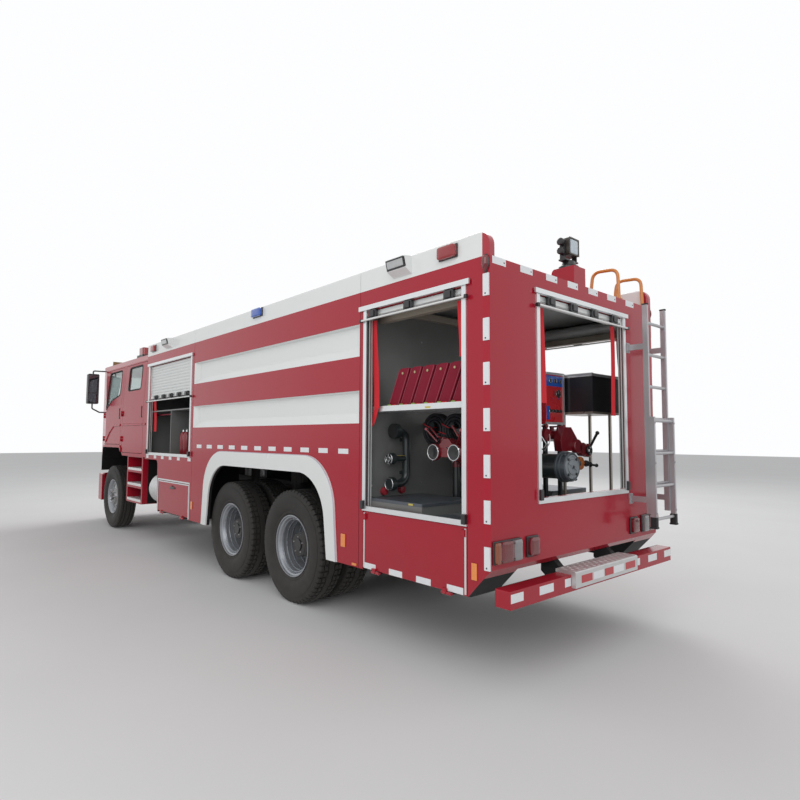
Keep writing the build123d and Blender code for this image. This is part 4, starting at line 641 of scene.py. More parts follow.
# Corner markers: teardrop lamps high on each tail corner, a red lens on a black gasket.
def teardrop(centre, half_x, half_z, depth, rows=10, count=32):
    """A domed drop standing on a side wall.

    The outline's half width is cos-shaped above the middle and narrows to a point
    below; each ring is the outline scaled by the cosine of its height angle."""
    angle = angles(count)
    x = np.sin(angle) * np.where(np.cos(angle) < 0, 1.0 + 0.45 * np.cos(angle), 1.0)
    z = np.cos(angle)
    lift = np.linspace(0.0, np.pi / 2, rows)
    scale = np.cos(lift)[:, None]
    rise = depth * np.sin(lift)[:, None] + 0 * x[None]
    ring = np.stack([half_x * x[None] * scale, rise, half_z * z[None] * scale], axis=-1) + centre
    faces = skin(rows, count)
    faces.append(list(range(count))[::-1])
    return ring.reshape(-1, 3), faces


piece("corner_marker_lenses", both(teardrop((0.028, HALF_WIDTH + 0.004, 2.862), 0.028, 0.064, 0.026)),
    lens_dark_red, "lens_red", smooth=True)
piece("corner_marker_gaskets", both(teardrop((0.028, HALF_WIDTH - 0.003, 2.862), 0.033, 0.07, 0.01)),
    catch_black, "black_plastic", smooth=True)

# Roof-edge flashers: red and blue lenses in shallow black bezels on the coaming.
FLASHERS = (("red_rear", 0.28, 0.47, 2.968, 3.072, lens_red),
    ("red_front", 6.54, 6.72, 2.968, 3.072, lens_red), ("blue", 3.18, 3.4, 2.992, 3.092, lens_blue))
bezel_rows = []
for cell, x0, x1, z0, z1, surface in FLASHERS:
    shape = both(pillow(x0 + 0.006, x1 - 0.006, HALF_WIDTH + 0.008, HALF_WIDTH + 0.036, z0 + 0.006,
        z1 - 0.006, 1, 0.008, power=7.0))
    piece(f"flasher_{cell}", shape, surface, "lens_blue" if cell == "blue" else "lens_red", smooth=True)
    bezel_rows.append((x0, x1, HALF_WIDTH, HALF_WIDTH + 0.012, z0, z1))
piece("flasher_bezels", both(blocks(bezel_rows)), catch_black, "black_plastic", bevel=0.006)

# Floodlights: a sloping clear lens in a black frame on a white wedge, two on each side
# of the roof edge.
flood_frames, flood_lenses = [], []
low_edge, high_edge = np.array([HALF_WIDTH + 0.073, 2.992]), np.array([HALF_WIDTH + 0.093, 3.074])
for x0, x1 in ((0.77, 0.985), (5.86, 6.075)):
    for inset, proud, store in ((0.0, 0.006, flood_frames), (0.014, 0.009, flood_lenses)):
        slope = [low_edge + (high_edge - low_edge) * t for t in (inset / 0.084, 1 - inset / 0.084)]
        points = [(x, y + d, z) for d in (-0.012, proud) for x in (x0 + inset, x1 - inset) for y, z in slope]
        faces = [(0, 1, 3, 2), (4, 6, 7, 5), (0, 2, 6, 4), (1, 5, 7, 3), (0, 4, 5, 1), (2, 3, 7, 6)]
        store.append((np.array(points), faces))
piece("floodlight_frames", both(*flood_frames), catch_black, "black_plastic", bevel=0.004)
piece("floodlight_lenses", both(*flood_lenses), lens_clear, "lens_clear", bevel=0.003)
wedge_enamel = finish("wedge_enamel", WHITE, rough=0.3, coat=0.3, mottling=(0.04, 2.5))
dress("clear_lamps", wedge_enamel)
dress("blue_lamps", lens_blue)
dress("red_lamps", lens_red)

# Rear bar: the folded red beam keeps its shape from the part; alternate white and red
# tape along its face, and a chequer-plate step wrapped over its middle.
bar_white_rows = [(-0.1412, -0.1395, y0, y1, 0.588, 0.646) for y0, y1 in ((1.055, 1.19), (0.704, 0.872),
    (0.482, 0.56), (-0.59, -0.482), (-0.911, -0.745), (-1.19, -1.06))]
step_white_rows, step_red_rows = ([(-0.1775, -0.1755, y0, y1, 0.6, 0.655) for y0, y1 in spans]
    for spans in (((0.075, 0.225), (-0.235, -0.08)), ((0.245, 0.395), (-0.07, 0.06), (-0.43, -0.27))))
red_tape = finish("red_tape", (0.5, 0.02, 0.03), rough=0.35, coat=0.3, mottling=(0.08, 40.0),
    grain=(0.03, 900.0))
piece("bar_white_tape", blocks(bar_white_rows + step_white_rows), tape, "white_paint")
piece("bar_red_tape", blocks(step_red_rows), red_tape, "red_paint")
step_alloy = finish("step_alloy", (0.6, 0.6, 0.6), rough=0.45, metal=0.6, mottling=(0.14, 9.0),
    grain=(0.08, 160.0), rough_spread=0.12)
dress("rear_step", step_alloy)


def treads(x0, x1, y0, y1, z, pitch=0.034, length=0.026, width=0.007, height=0.0022):
    """Raised chequer-plate bars: lozenges in rows that lean left and right by turns.

    Each lozenge has four foot points and a ridge of two points, all computed at once
    from the grid of centres and the sign of its row plus column."""
    columns = max(int((x1 - x0) / pitch), 1)
    rows = max(int((y1 - y0) / pitch), 1)
    cx, cy = np.meshgrid(x0 + (np.arange(columns) + 0.5) * (x1 - x0) / columns,
        y0 + (np.arange(rows) + 0.5) * (y1 - y0) / rows, indexing="ij")
    lean = np.where((np.arange(columns)[:, None] + np.arange(rows)[None]) % 2 == 0, 1.0, -1.0)
    along = np.stack([np.full_like(cx, 0.7071), 0.7071 * lean], axis=-1) * length / 2
    aside = np.stack([-0.7071 * lean, np.full_like(cx, 0.7071)], axis=-1) * width / 2
    centre = np.stack([cx, cy], axis=-1)
    feet = np.stack([centre - along, centre + aside, centre + along, centre - aside], axis=-2)
    top = np.stack([centre - along * 0.45, centre + along * 0.45], axis=-2)
    flat = np.concatenate([feet, top], axis=-2).reshape(-1, 6, 2)
    level = np.array([z, z, z, z, z + height, z + height])
    points = np.concatenate([flat, np.broadcast_to(level[None, :, None], flat.shape[:2] + (1,))], axis=-1)
    one = [(0, 3, 4), (0, 4, 1), (3, 2, 5), (3, 5, 4), (1, 5, 2), (1, 4, 5), (0, 1, 2, 3)]
    faces = [[6 * k + i for i in face] for k in range(len(points)) for face in one]
    return points.reshape(-1, 3), faces


piece("rear_step_treads", treads(-0.172, -0.012, -0.468, 0.468, 0.69), step_alloy, "aluminium")

# Ladder: rubber end caps and feet, the bolts down the lower rails, and those that hold
# the upper part's brackets to the tail wall.
rubber = finish("ladder_rubber", (0.015, 0.015, 0.016), rough=0.7, mottling=(0.2, 2.5), grain=(0.15, 350.0))
UPPER_RAILS = (0.728, 1.082)
cap_rows = [(-0.199, -0.146, -y - 0.0145, -y + 0.0145, 2.848, 2.862) for y in UPPER_RAILS]
piece("ladder_caps", blocks(cap_rows), rubber, "black_plastic", bevel=0.003)
LOWER_RAILS = (0.712, 1.098)
foot_rows = []
for y in LOWER_RAILS:
    foot_rows += [(-0.247, -0.192, -y - 0.019, -y + 0.019, 0.887, 0.985),
        (-0.251, -0.188, -y - 0.023, -y + 0.023, 0.887, 0.903)]
piece("ladder_feet", blocks(foot_rows), rubber, "black_plastic", body="ladder_slide_section", bevel=0.004)
bolt_centres = [(-0.243, -y, z) for y in LOWER_RAILS for z in (1.02, 1.45, 1.8)]
bolt_steel = finish("bolt_steel", (0.42, 0.42, 0.43), rough=0.35, metal=0.9, mottling=(0.1, 2.5))
piece("ladder_bolts", discs(bolt_centres, 0, 0.009, 0.01, 6), bolt_steel, "aluminium",
    body="ladder_slide_section")
wall_bolts = [(-0.011, -y + d, z + e) for y in UPPER_RAILS for z in (1.128, 2.48) for d in (-0.018, 0.018)
    for e in (-0.033, 0.033)]
piece("ladder_wall_bolts", discs(wall_bolts, 0, 0.007, 0.008, 6), bolt_steel, "aluminium")

# Roof hoops: bent steel tube in orange enamel.
orange_enamel = finish("orange_enamel", (0.66, 0.23, 0.035), rough=0.3, coat=0.4, mottling=(0.14, 14.0),
    grain=(0.03, 300.0))
hoop_shapes = []
for y in (-0.657, -1.11):
    path = rounded_path([(0.03, y, 2.915), (0.04, y, 3.205), (0.285, y, 3.222), (0.322, y, 2.915)], 0.075,
        10)
    hoop_shapes.append(pipe(path, 0.0155, 20, along_y))
    hoop_shapes.append(discs([(0.03, y, 2.925), (0.322, y, 2.925)], 2, 0.028, 0.01, 24))
piece("roof_hoops", join(*hoop_shapes), orange_enamel, "hoop_orange", smooth=True, hides=("grab_hoops",))

# Tyres: radial lorry tyres, smooth side walls with a moulded rim guard and four tread
# grooves, and deeper shoulder blocks on the driven twins.
tyre_compound = finish("tyre_compound", (0.012, 0.0115, 0.011), rough=0.72, mottling=(0.22, 5.0),
    grain=(0.25, 260.0), rough_spread=0.08)
soiled(tyre_compound, (0.058, 0.05, 0.042), by_height(tyre_compound, 0.75, 0.25, 0.0, 1.1), 11.0, 7.0)
HUB_HEIGHT, TYRE_RADIUS = 0.5625, 0.5625
SIDE_WALL = [(0.292, 0.103), (0.3, 0.108), (0.318, 0.118), (0.326, 0.126), (0.335, 0.128), (0.344, 0.126),
    (0.372, 0.141), (0.41, 0.148), (0.45, 0.1495), (0.485, 0.147), (0.5, 0.143), (0.502, 0.139),
    (0.515, 0.137), (0.535, 0.131)]
GROOVES = (-0.083, -0.036, 0.036, 0.083)


def tyre(wheel_x, middle_y, lugs, grip):
    """A tyre as one closed grid: section rows carried round the axle.

    The tread is the arc r = R - 0.004 (y / 0.118)^2 with four grooves 17 mm deep that
    zigzag by a triangle wave; between lugs the shoulder blocks drop by grip."""
    fraction = np.array([0.0, 0.7, 0.76, 0.94])
    angle = ((np.arange(lugs)[:, None] + fraction) * 2 * np.pi / lugs).ravel()
    gap = np.tile([0.0, 0.0, 1.0, 1.0], lugs)
    zigzag = 0.0045 * (2 * np.abs((angle * lugs / (4 * np.pi)) % 1.0 * 2 - 1) - 1)
    rows = []
    for g in GROOVES:
        rows += [(g - 0.0062, 0.0, 1.0, 1.0), (g - 0.0044, 0.017, 1.0, 0.0), (g + 0.0044, 0.017, 1.0, 0.0),
            (g + 0.0062, 0.0, 1.0, 1.0)]
    rows += [(y, 0.0, 0.0, 1.0) for y in (-0.118, -0.108, -0.06, 0.0, 0.06, 0.108, 0.118)]
    y, drop, sway, edge = np.array(sorted(rows)).T
    edge = edge * (np.abs(y) > 0.04)
    wall = np.array(SIDE_WALL)
    radius = np.concatenate([wall[:, 0], [0.548], TYRE_RADIUS - 0.004 * (y / 0.118) ** 2 - drop, [0.548],
        wall[::-1, 0], [0.292]])
    across = np.concatenate([-wall[:, 1], [-0.1265], y, [0.1265], wall[::-1, 1], [-0.103]])
    rest = np.zeros(len(wall) + 1)
    sway = np.concatenate([rest, sway, rest, [0.0]])
    edge = np.concatenate([rest[:-1], [1.0], edge, [1.0], rest[:-1], [0.0]])
    r = radius[:, None] - grip * edge[:, None] * gap
    points = np.stack([wheel_x + r * np.cos(angle), middle_y + across[:, None] + sway[:, None] * zigzag,
        HUB_HEIGHT + r * np.sin(angle)], axis=-1)
    return points.reshape(-1, 3), skin(len(radius), len(angle))


AXLES = (("front", 8.985), ("mid", 4.014), ("rear", 2.644))
for end, wheel_x in AXLES:
    if end == "front":
        shape = tyre(wheel_x, 0.98, 48, 0.004)
    else:
        shape = join(*(tyre(wheel_x, y, 56, 0.013) for y in (1.02, 0.68)))
    sided(f"tyre_rubber_{end}", shape, tyre_compound, "tyre_rubber", f"wheel_{end}", (f"tyre_{end}",),
        smooth=True)

# Rims: pressed steel discs in silver enamel, brake dust in the dish, a dark hub, and
# plated nuts on ten studs. The disc keeps its shape from the part.
for end, wheel_x in AXLES:
    enamel = finish(f"rim_enamel_{end}", (0.34, 0.36, 0.39), rough=0.32, metal=0.55, coat=0.15,
        mottling=(0.1, 7.0), grain=(0.03, 160.0), rough_spread=0.1)
    tree = enamel.node_tree
    axes = axes_of(tree)
    legs = [calc(tree, "SUBTRACT", axes["X"], rear_wall + wheel_x),
        calc(tree, "SUBTRACT", axes["Z"], HUB_HEIGHT)]
    reach = calc(tree, "SQRT", calc(tree, "ADD", *(calc(tree, "MULTIPLY", leg, leg) for leg in legs)))
    soiled(enamel, (0.2, 0.17, 0.14), ramp(tree, reach, 1.1, 0.15, 0.12, 0.285), 16.0)
    repaint(enamel, (0.035, 0.033, 0.032), band(tree, reach, -1.0, 0.098 if end == "front" else 0.112))
    for side in SIDES:
        dress(f"rim_{end}_{side}", enamel)
plated = finish("nut_plating", (0.52, 0.52, 0.53), rough=0.3, metal=0.9, mottling=(0.12, 80.0))
valve_brass = finish("valve_brass", (0.4, 0.31, 0.13), rough=0.35, metal=0.8, mottling=(0.1, 2.5))


TINY = 1e-6


def turned_form(profile, centre, axis, count=32):
    """A profile of (radius, distance along the axis) spun round one axis through centre.

    Point (i, j) stands at radius r_i and angle 2 pi j / count. A profile that neither
    ends where it starts nor at radius zero is closed flat at its poles."""
    profile = [tuple(row) for row in profile]
    (inner, near), (outer, far) = profile[0], profile[-1]
    if max(abs(inner - outer), abs(near - far)) > TINY:
        profile = [(0.0, near)] * int(inner > TINY) + profile + [(0.0, far)] * int(outer > TINY)
    profile = np.array(profile)
    angle = angles(count)
    across = [a for a in range(3) if a != axis]
    points = np.empty((len(profile), count, 3))
    points[..., axis] = centre[axis] + profile[:, 1, None]
    points[..., across[0]] = centre[across[0]] + profile[:, 0, None] * np.cos(angle)
    points[..., across[1]] = centre[across[1]] + profile[:, 0, None] * np.sin(angle)
    return points.reshape(-1, 3), skin(len(profile), count)


def hoop(centre, axis, radius, thick, count=36, around=10):
    """A torus: a circle of the given thickness spun at the given radius."""
    t = np.linspace(0.0, 2 * np.pi, around + 1)
    return turned_form(np.stack([radius + thick * np.cos(t), thick * np.sin(t)], axis=-1), centre, axis,
        count)


def nuts(centres, across_flats=0.03, height=0.02):
    """Hexagon nuts with a washer face and a short thread, standing out along Y."""
    outward = np.array([0.0, 1.0, 0.0])
    washer = discs(centres + outward * 0.002, 1, across_flats * 0.72, 0.004, 16)
    hexagon = discs(centres + outward * (0.004 + height / 2), 1, across_flats / 1.732, height, 6)
    thread = discs(centres + outward * (0.004 + height + 0.006), 1, across_flats * 0.33, 0.012, 10)
    return join(washer, hexagon, thread)


def about_axle(wheel_x, y, radius, count, start=0.0):
    """Points at even angles on a circle about the axle."""
    angle = angles(count, start)
    return np.stack([wheel_x + radius * np.cos(angle), np.full(count, y),
        HUB_HEIGHT + radius * np.sin(angle)], axis=-1)


for end, wheel_x in AXLES:
    body = f"wheel_{end}"
    if end == "front":
        nut_ring, disc_y, hub_y, stem_y = 0.12, 1.092, 1.108, 1.035
    else:
        nut_ring, disc_y, hub_y, stem_y = 0.135, 0.922, 1.06, 0.955
    rim_bolts = discs(about_axle(wheel_x, hub_y + 0.003, 0.082, 5, 0.3), 1, 0.007, 0.012, 6)
    sided(f"wheel_nuts_{end}", join(nuts(about_axle(wheel_x, disc_y, nut_ring, 10)), rim_bolts), plated,
        "rim_silver", body, bevel=0.0012)
    cap = discs([(wheel_x, hub_y + 0.004, HUB_HEIGHT)], 1, 0.06, 0.014, 28)
    sided(f"hub_cap_{end}", cap, catch_black, "frame_black", body, bevel=0.004)
    stem = pipe([(wheel_x + 0.232, stem_y, HUB_HEIGHT),
        (wheel_x + 0.226, stem_y + 0.035, HUB_HEIGHT + 0.004)], 0.0042, 10)
    sided(f"valve_stem_{end}", stem, valve_brass, "rim_silver", body, smooth=True)

# Dish ribs: the steps rolled into the twin rims' barrels, and painted shade in the
# hand holes of their discs: a near-black disc fills each hole.
dish_steel = finish("dish_steel", (0.3, 0.32, 0.35), rough=0.28, metal=0.65, mottling=(0.1, 9.0))
hole_shade = finish("hole_shade", (0.006, 0.006, 0.007), rough=0.7)
RIBS = ((1.094, 0.264, 0.006), (1.04, 0.257, 0.005), (0.984, 0.254, 0.005), (0.9, 0.25, 0.009))
for end, wheel_x in AXLES[1:]:
    ribs = [hoop((wheel_x, y, HUB_HEIGHT), 1, radius, thick, 64, 8) for y, radius, thick in RIBS]
    sided(f"dish_ribs_{end}", join(*ribs), dish_steel, "rim_silver", f"wheel_{end}", smooth=True)
    # Painted shade: a near-black disc in each hand hole stands for the dark seen through it.
    holes = discs(about_axle(wheel_x, 0.862, 0.204, 8), 1, 0.027, 0.004, 20)
    sided(f"hand_holes_{end}", holes, hole_shade, "frame_black", f"wheel_{end}")

# Pump bay: sheet steel lined with slate-grey enamel, beige roof beams, raised chequer
# lozenges on the floor, plates on the side steps, and a thin lead along the floor.
SLATE = (0.16, 0.165, 0.16)
bay_slate = finish("bay_slate", SLATE, rough=0.42, coat=0.15, mottling=(0.16, 3.0), grain=(0.04, 120.0))
dress("bay_linings", bay_slate)
for name, x0, x1, z0, z1 in (("pump_bay", 0.0375, 1.389, 1.045, 2.8605),
        ("locker_body", 5.0845, 6.8755, 1.389, 2.8505)):
    made = blacked_below(body_red(f"{name}_enamel"), 0.058, 6.885, 1.2235, z0)
    dress(name, repaint(made, SLATE, within(made, X=(x0, x1), side=(-1.0, 1.1905), Z=(z0, z1))))
floor_plate = finish("floor_plate", (0.11, 0.125, 0.145), rough=0.4, metal=0.55, mottling=(0.22, 7.0),
    grain=(0.06, 200.0), rough_spread=0.12)
step_plate = blocks([(0.702, 1.362, 0.564, 1.176, 1.1502, 1.1515),
    (0.045, 0.695, 0.9, 1.165, 1.0562, 1.0575)])
piece("bay_step_plates", both(step_plate), floor_plate, "bay_grey")
piece("bay_floor_treads", join(treads(0.06, 0.69, -0.89, 0.89, 1.056),
    treads(0.715, 1.35, -0.545, 0.545, 1.056)), floor_plate, "bay_grey")
edge_rows = [(0.696, 0.704, 0.565, 1.175, 1.128, 1.1525), (0.7, 1.36, 1.172, 1.181, 1.128, 1.1525)]
piece("floor_step_edges", both(blocks(edge_rows)), floor_plate, "bay_grey", bevel=0.0015)
beam_beige = finish("beam_beige", (0.3, 0.26, 0.21), rough=0.5, mottling=(0.12, 8.0), grain=(0.05, 300.0))
beam_rows = [(0.042, 0.118, -1.16, 1.16, 2.7, 2.76), (0.042, 1.36, -1.1, -1.03, 2.64, 2.7),
    (0.042, 1.36, 1.0, 1.07, 2.66, 2.715), (1.3, 1.36, -1.03, 1.0, 2.76, 2.82)]
piece("roof_beams", blocks(beam_rows), beam_beige, "bay_grey", bevel=0.006)
wall_bolts = [(1.3625, y, z) for y in (-1.1, -0.6, 0.0, 0.55, 1.14) for z in (1.25, 1.95, 2.55)]
cable_black = finish("cable_black", (0.02, 0.02, 0.022), rough=0.55, mottling=(0.1, 2.5))
cable = pipe(rounded_path([(x, y, 1.0615) for x, y in ((0.06, 0.61), (0.12, 0.42), (0.14, -0.15),
    (0.24, -0.3), (0.27, -0.42))], 0.07, 10), 0.0042, 8)
piece("bay_rivets", discs(wall_bolts, 0, 0.009, 0.005, 12), bolt_steel, "aluminium")
piece("floor_lead", cable, cable_black, "black_plastic", smooth=True)

# Hose cases: seven stiff wine-red sleeves that lean on the shelf, each with a lighter
# piped edge and a brass snap; tabs mark their feet.
case_wine = finish("case_wine", (0.22, 0.008, 0.026), rough=0.55, mottling=(0.16, 9.0), grain=(0.12, 600.0))
inputs_of(case_wine)["Specular IOR Level"].default_value = 0.2
case_edge = finish("case_edge", (0.34, 0.05, 0.08), rough=0.5, mottling=(0.1, 30.0), grain=(0.05, 300.0))
snap_brass = finish("snap_brass", (0.45, 0.38, 0.22), rough=0.3, metal=0.85, mottling=(0.1, 2.5))
tab_lime = finish("tab_lime", (0.28, 0.5, 0.1), rough=0.55, mottling=(0.12, 60.0))
CASE_LEAN, CASE_FOOT, CASE_TALL = -0.15, 1.9, 0.33
case_shapes, edge_shapes, snap_at, lime_rows, red_rows = [], [], [], [], []
for k in range(7):
    right = 1.193 - 0.145 * k
    points, faces = pillow(right - 0.12, right - 0.002, 0.782, 1.102, CASE_FOOT, CASE_FOOT + CASE_TALL, 1,
        0.007, rows=8, power=9.0)
    points[:, 0] += (points[:, 2] - CASE_FOOT) / CASE_TALL * CASE_LEAN
    case_shapes.append((points, faces))
    for x in (right - 0.117, right - 0.006):
        edge_shapes.append(pipe([(x, 1.104, CASE_FOOT + 0.012),
            (x + 0.94 * CASE_LEAN, 1.104, CASE_FOOT + 0.322)], 0.0035, 6))
    snap_at.append((right - 0.06 + 0.87 * CASE_LEAN, 1.11, CASE_FOOT + 0.287))
    lime_rows.append((right - 0.052, right - 0.012, 1.112, 1.12, CASE_FOOT + 0.026, CASE_FOOT + 0.037))
    red_rows.append((right - 0.112, right - 0.056, 1.112, 1.12, CASE_FOOT + 0.026, CASE_FOOT + 0.035))
piece("case_sleeves", join(*case_shapes), case_wine, "case_red", smooth=True, hides=("hose_cases",))
piece("case_piping", join(*edge_shapes), case_edge, "case_red", smooth=True)
piece("case_snaps", discs(snap_at, 1, 0.011, 0.008, 16), snap_brass, "aluminium", bevel=0.002)
piece("case_tabs_lime", blocks(lime_rows), tab_lime, "case_red", bevel=0.002)
piece("case_tabs_red", blocks(red_rows), webbing, "case_red", bevel=0.002)
mark_yellow = finish("mark_yellow", (0.62, 0.5, 0.1), rough=0.5, mottling=(0.1, 80.0))
mark_rows = [(0.64, 0.7, 1.15, 1.1512, 1.888, 1.902), (0.8, 0.85, 1.181, 1.1822, 1.132, 1.146),
    (0.44, 0.5, 1.176, 1.182, 1.058, 1.072)]
piece("bay_marks", blocks(mark_rows), mark_yellow, "hoop_orange")

# Pump castings: the spiral casing and the branch pipe in nearly black green-grey
# enamel, with polished rims and lugs on the mouths that face the crew.
pump_iron = finish("pump_iron", (0.02, 0.027, 0.028), rough=0.34, coat=0.25, mottling=(0.3, 8.0),
    grain=(0.25, 130.0), rough_spread=0.12)
dress("pump_set", pump_iron)
chrome = finish("mouth_chrome", (0.62, 0.63, 0.64), rough=0.14, metal=1.0, mottling=(0.05, 40.0),
    rough_spread=0.05)
BRANCH_X = 1.29
rings = [hoop((BRANCH_X, y, z), 1, radius, thick) for y, z, radius, thick in ((1.012, 1.476, 0.046, 0.0045),
    (1.016, 1.476, 0.024, 0.004), (1.007, 1.26, 0.052, 0.0045), (0.95, 1.476, 0.031, 0.006))]
rings.append(pipe([(BRANCH_X - 0.04, 1.016, 1.476), (BRANCH_X + 0.04, 1.016, 1.476)], 0.0045, 10))
rings.append(pipe([(BRANCH_X, 1.016, 1.436), (BRANCH_X, 1.016, 1.516)], 0.0045, 10, along_x))
rings.append(turned_form([(0.01, 1.0), (0.012, 1.004), (0.01, 1.02), (0.0, 1.022)], (BRANCH_X, 0.0, 1.476),
    1, 20))
VALVES = (0.676, 0.909)
for x in VALVES:
    rings += [hoop((x, 0.853, 1.54), 1, 0.062, 0.0055), hoop((x, 0.853, 1.54), 1, 0.04, 0.0035)]
    for a in (0.6, 2.7, 4.8):
        rings.append(pipe([(x + 0.062 * np.cos(a), 0.845, 1.54 + 0.062 * np.sin(a)),
            (x + 0.074 * np.cos(a), 0.868, 1.54 + 0.074 * np.sin(a))], 0.006, 10))
piece("coupling_rings", join(*rings), chrome, "aluminium", smooth=True)
gasket_shapes = [turned_form([(0.06, -0.004), (0.06, 0.003), (0.036, 0.004), (0.03, 0.0015)],
    (x, 0.853, 1.54), 1) for x in VALVES]
gasket_shapes += [turned_form([(0.058, -0.002), (0.058, 0.002), (0.044, 0.004)], (BRANCH_X, 0.966, 1.716),
    1)]
piece("coupling_gaskets", join(*gasket_shapes), catch_black, "black_plastic", smooth=True)
cap_red = finish("cap_red", (0.32, 0.018, 0.03), rough=0.35, coat=0.2, mottling=(0.15, 20.0))
caps = [turned_form([(0.036, 0.0), (0.038, -0.012), (0.03, -0.03), (0.012, -0.034)], (1.364, y, z), 0, 24)
    for y, z in ((1.006, 1.195), (0.801, 1.2))]
piece("drain_caps", join(*caps), cap_red, "red_paint", smooth=True)
piece("branch_label", blocks([(1.268, 1.312, 0.838, 0.896, 1.5015, 1.5035)]), mark_yellow, "hoop_orange")

# Delivery manifold: welded steel tube in the truck's red, with ball-ended levers.
manifold_red = finish("manifold_red", (0.2, 0.01, 0.018), rough=0.3, coat=0.4, mottling=(0.14, 10.0),
    grain=(0.1, 150.0), rough_spread=0.08)
STAND_TOP = 1.4
repaint(manifold_red, (0.02, 0.024, 0.025), within(manifold_red, Z=(-1.0, STAND_TOP)))
dress("pump_manifold", manifold_red)
knob_pink = finish("knob_pink", (0.55, 0.12, 0.15), rough=0.3, coat=0.5, mottling=(0.1, 2.5))


def ball(centre, radius, count=20):
    """A sphere: radius sin(t) at distance -radius cos(t) along X, t from 0 to pi."""
    t = np.linspace(0.0, np.pi, count // 2 + 1)
    return turned_form(np.stack([radius * np.sin(t), -radius * np.cos(t)], axis=-1), centre, 0, count)


lever_ends = [((0.909, 0.8, 1.625), (0.993, 0.85, 1.733)), ((0.676, 0.8, 1.625), (0.6, 0.85, 1.722))]
levers = [pipe([a, b], 0.0085, 12) for a, b in lever_ends]


def prism(outline, axis, near, far):
    """An outline of points in the other two axes, carried along one axis from near to far."""
    ends = [np.insert(np.array(outline, float), axis, level, axis=1) for level in (near, far)]
    n = len(outline)
    faces = [list(range(n)), [n + i for i in range(n)][::-1]]
    return np.concatenate(ends), faces + [[i, n + i, n + (i + 1) % n, (i + 1) % n] for i in range(n)]


casting = prism([(0.69, 1.52), (0.74, 1.5), (0.83, 1.5), (0.88, 1.525), (0.86, 1.6), (0.8, 1.655),
    (0.75, 1.655), (0.7, 1.6)], 1, 0.835, 0.775)
piece("valve_casting", join(casting, *levers), manifold_red, "red_paint", bevel=0.004)
piece("lever_knobs", join(*[ball(b, 0.013) for _, b in lever_ends]), knob_pink, "red_paint", smooth=True)

# Delivery hoses: two short black rubber lengths wound flat on the bracket's pegs and
# strapped, so that they stay put on the road.
hose_black = finish("hose_black", (0.014, 0.014, 0.018), rough=0.55, mottling=(0.25, 30.0),
    grain=(0.2, 500.0))
COILS = ((1.115, 1.73), (0.875, 1.722))
turns = [hoop((x, y, z), 1, r, 0.0148, 44, 8) for x, z in COILS for y in (0.559, 0.59, 0.621)
    for r in (0.074, 0.104, 0.133)]
piece("hose_turns", join(*turns), hose_black, "hose_rubber", smooth=True, hides=("hose_coils",))
pegs, hose_bands = [], []
BAND_LOOP = ((0.062, 0.541), (0.15, 0.541), (0.15, 0.639), (0.062, 0.639), (0.062, 0.541))
for x, z in COILS:
    pegs += [pipe([(x, y, z + 0.044) for y in ends], radius, count)
        for ends, radius, count in (((0.526, 0.655), 0.014, 16), ((0.644, 0.656), 0.024, 20))]
    for a in (0.4, 3.4):
        c, s = np.cos(a), np.sin(a)
        ring = [(x + r * c, y, z + r * s) for r, y in BAND_LOOP]
        hose_bands.append(pipe(rounded_path(ring, 0.012), 0.004, 8, side=(-s, 0.0, c)))
rack = blocks([(1.0, 1.364, 0.52, 0.528, 1.7, 1.8), (0.86, 1.0, 0.52, 0.528, 1.74, 1.8)])
piece("hose_rack", join(rack, *pegs), pump_iron, "hose_rubber")
piece("hose_bands", join(*hose_bands), webbing, "hose_rubber", smooth=True)

# Suction inlet towards the tail: blue-grey cap with two lugs round a grey face with a
# black plug; an amber-brown drain flange with a black spout beside it.
cap_blue = finish("cap_blue_grey", (0.085, 0.1, 0.115), rough=0.38, metal=0.35, mottling=(0.16, 14.0),
    grain=(0.08, 300.0))
INLET_Z = 1.423
cap_shapes = [turned_form([(0.104, 0.15), (0.106, 0.134), (0.114, 0.128), (0.121, 0.134), (0.1225, 0.15),
    (0.1225, 0.23), (0.104, 0.23), (0.104, 0.15)], (0.0, 0.0, INLET_Z), 0, 56),
    *(hoop((x, 0.0, INLET_Z), 0, 0.1235, 0.006, 56) for x in (0.182, 0.212))]
for a in (0.9, 0.9 + np.pi):
    lug = [(x, r * np.cos(a), INLET_Z + r * np.sin(a)) for x, r in ((0.155, 0.112), (0.15, 0.142))]
    cap_shapes.append(pipe(lug, 0.012, 14))
piece("inlet_ring", join(*cap_shapes), cap_blue, "pump_iron", smooth=True)
disc_grey = finish("disc_grey", (0.2, 0.225, 0.245), rough=0.42, metal=0.25, mottling=(0.14, 14.0),
    grain=(0.08, 300.0))
face = [turned_form([(0.016, 0.12), (0.02, 0.126), (0.06, 0.127), (0.062, 0.131), (0.084, 0.132),
    (0.088, 0.128), (0.098, 0.129), (0.103, 0.136), (0.103, 0.166)], (0.0, 0.0, INLET_Z), 0, 56),
    pipe([(0.128, 0.06, INLET_Z + 0.03), (0.128, -0.06, INLET_Z - 0.03)], 0.006, 12)]
piece("inlet_face", join(*face), disc_grey, "pump_iron", smooth=True)
piece("inlet_plug", turned_form([(0.011, 0.112), (0.013, 0.116), (0.013, 0.122)], (0.0, 0.0, INLET_Z), 0,
    20), catch_black, "black_plastic", smooth=True)
flange_brown = finish("flange_brown", (0.42, 0.14, 0.04), rough=0.45, mottling=(0.2, 24.0),
    grain=(0.1, 300.0))
flange = turned_form([(0.058, 0.0), (0.06, 0.008), (0.06, 0.022), (0.04, 0.026)], (0.33, -0.47, 1.434), 0,
    28)
flange_bolts = discs([(0.328, -0.47 + 0.048 * np.cos(a), 1.434 + 0.048 * np.sin(a)) for a in angles(6)], 0,
    0.006, 0.012, 6)
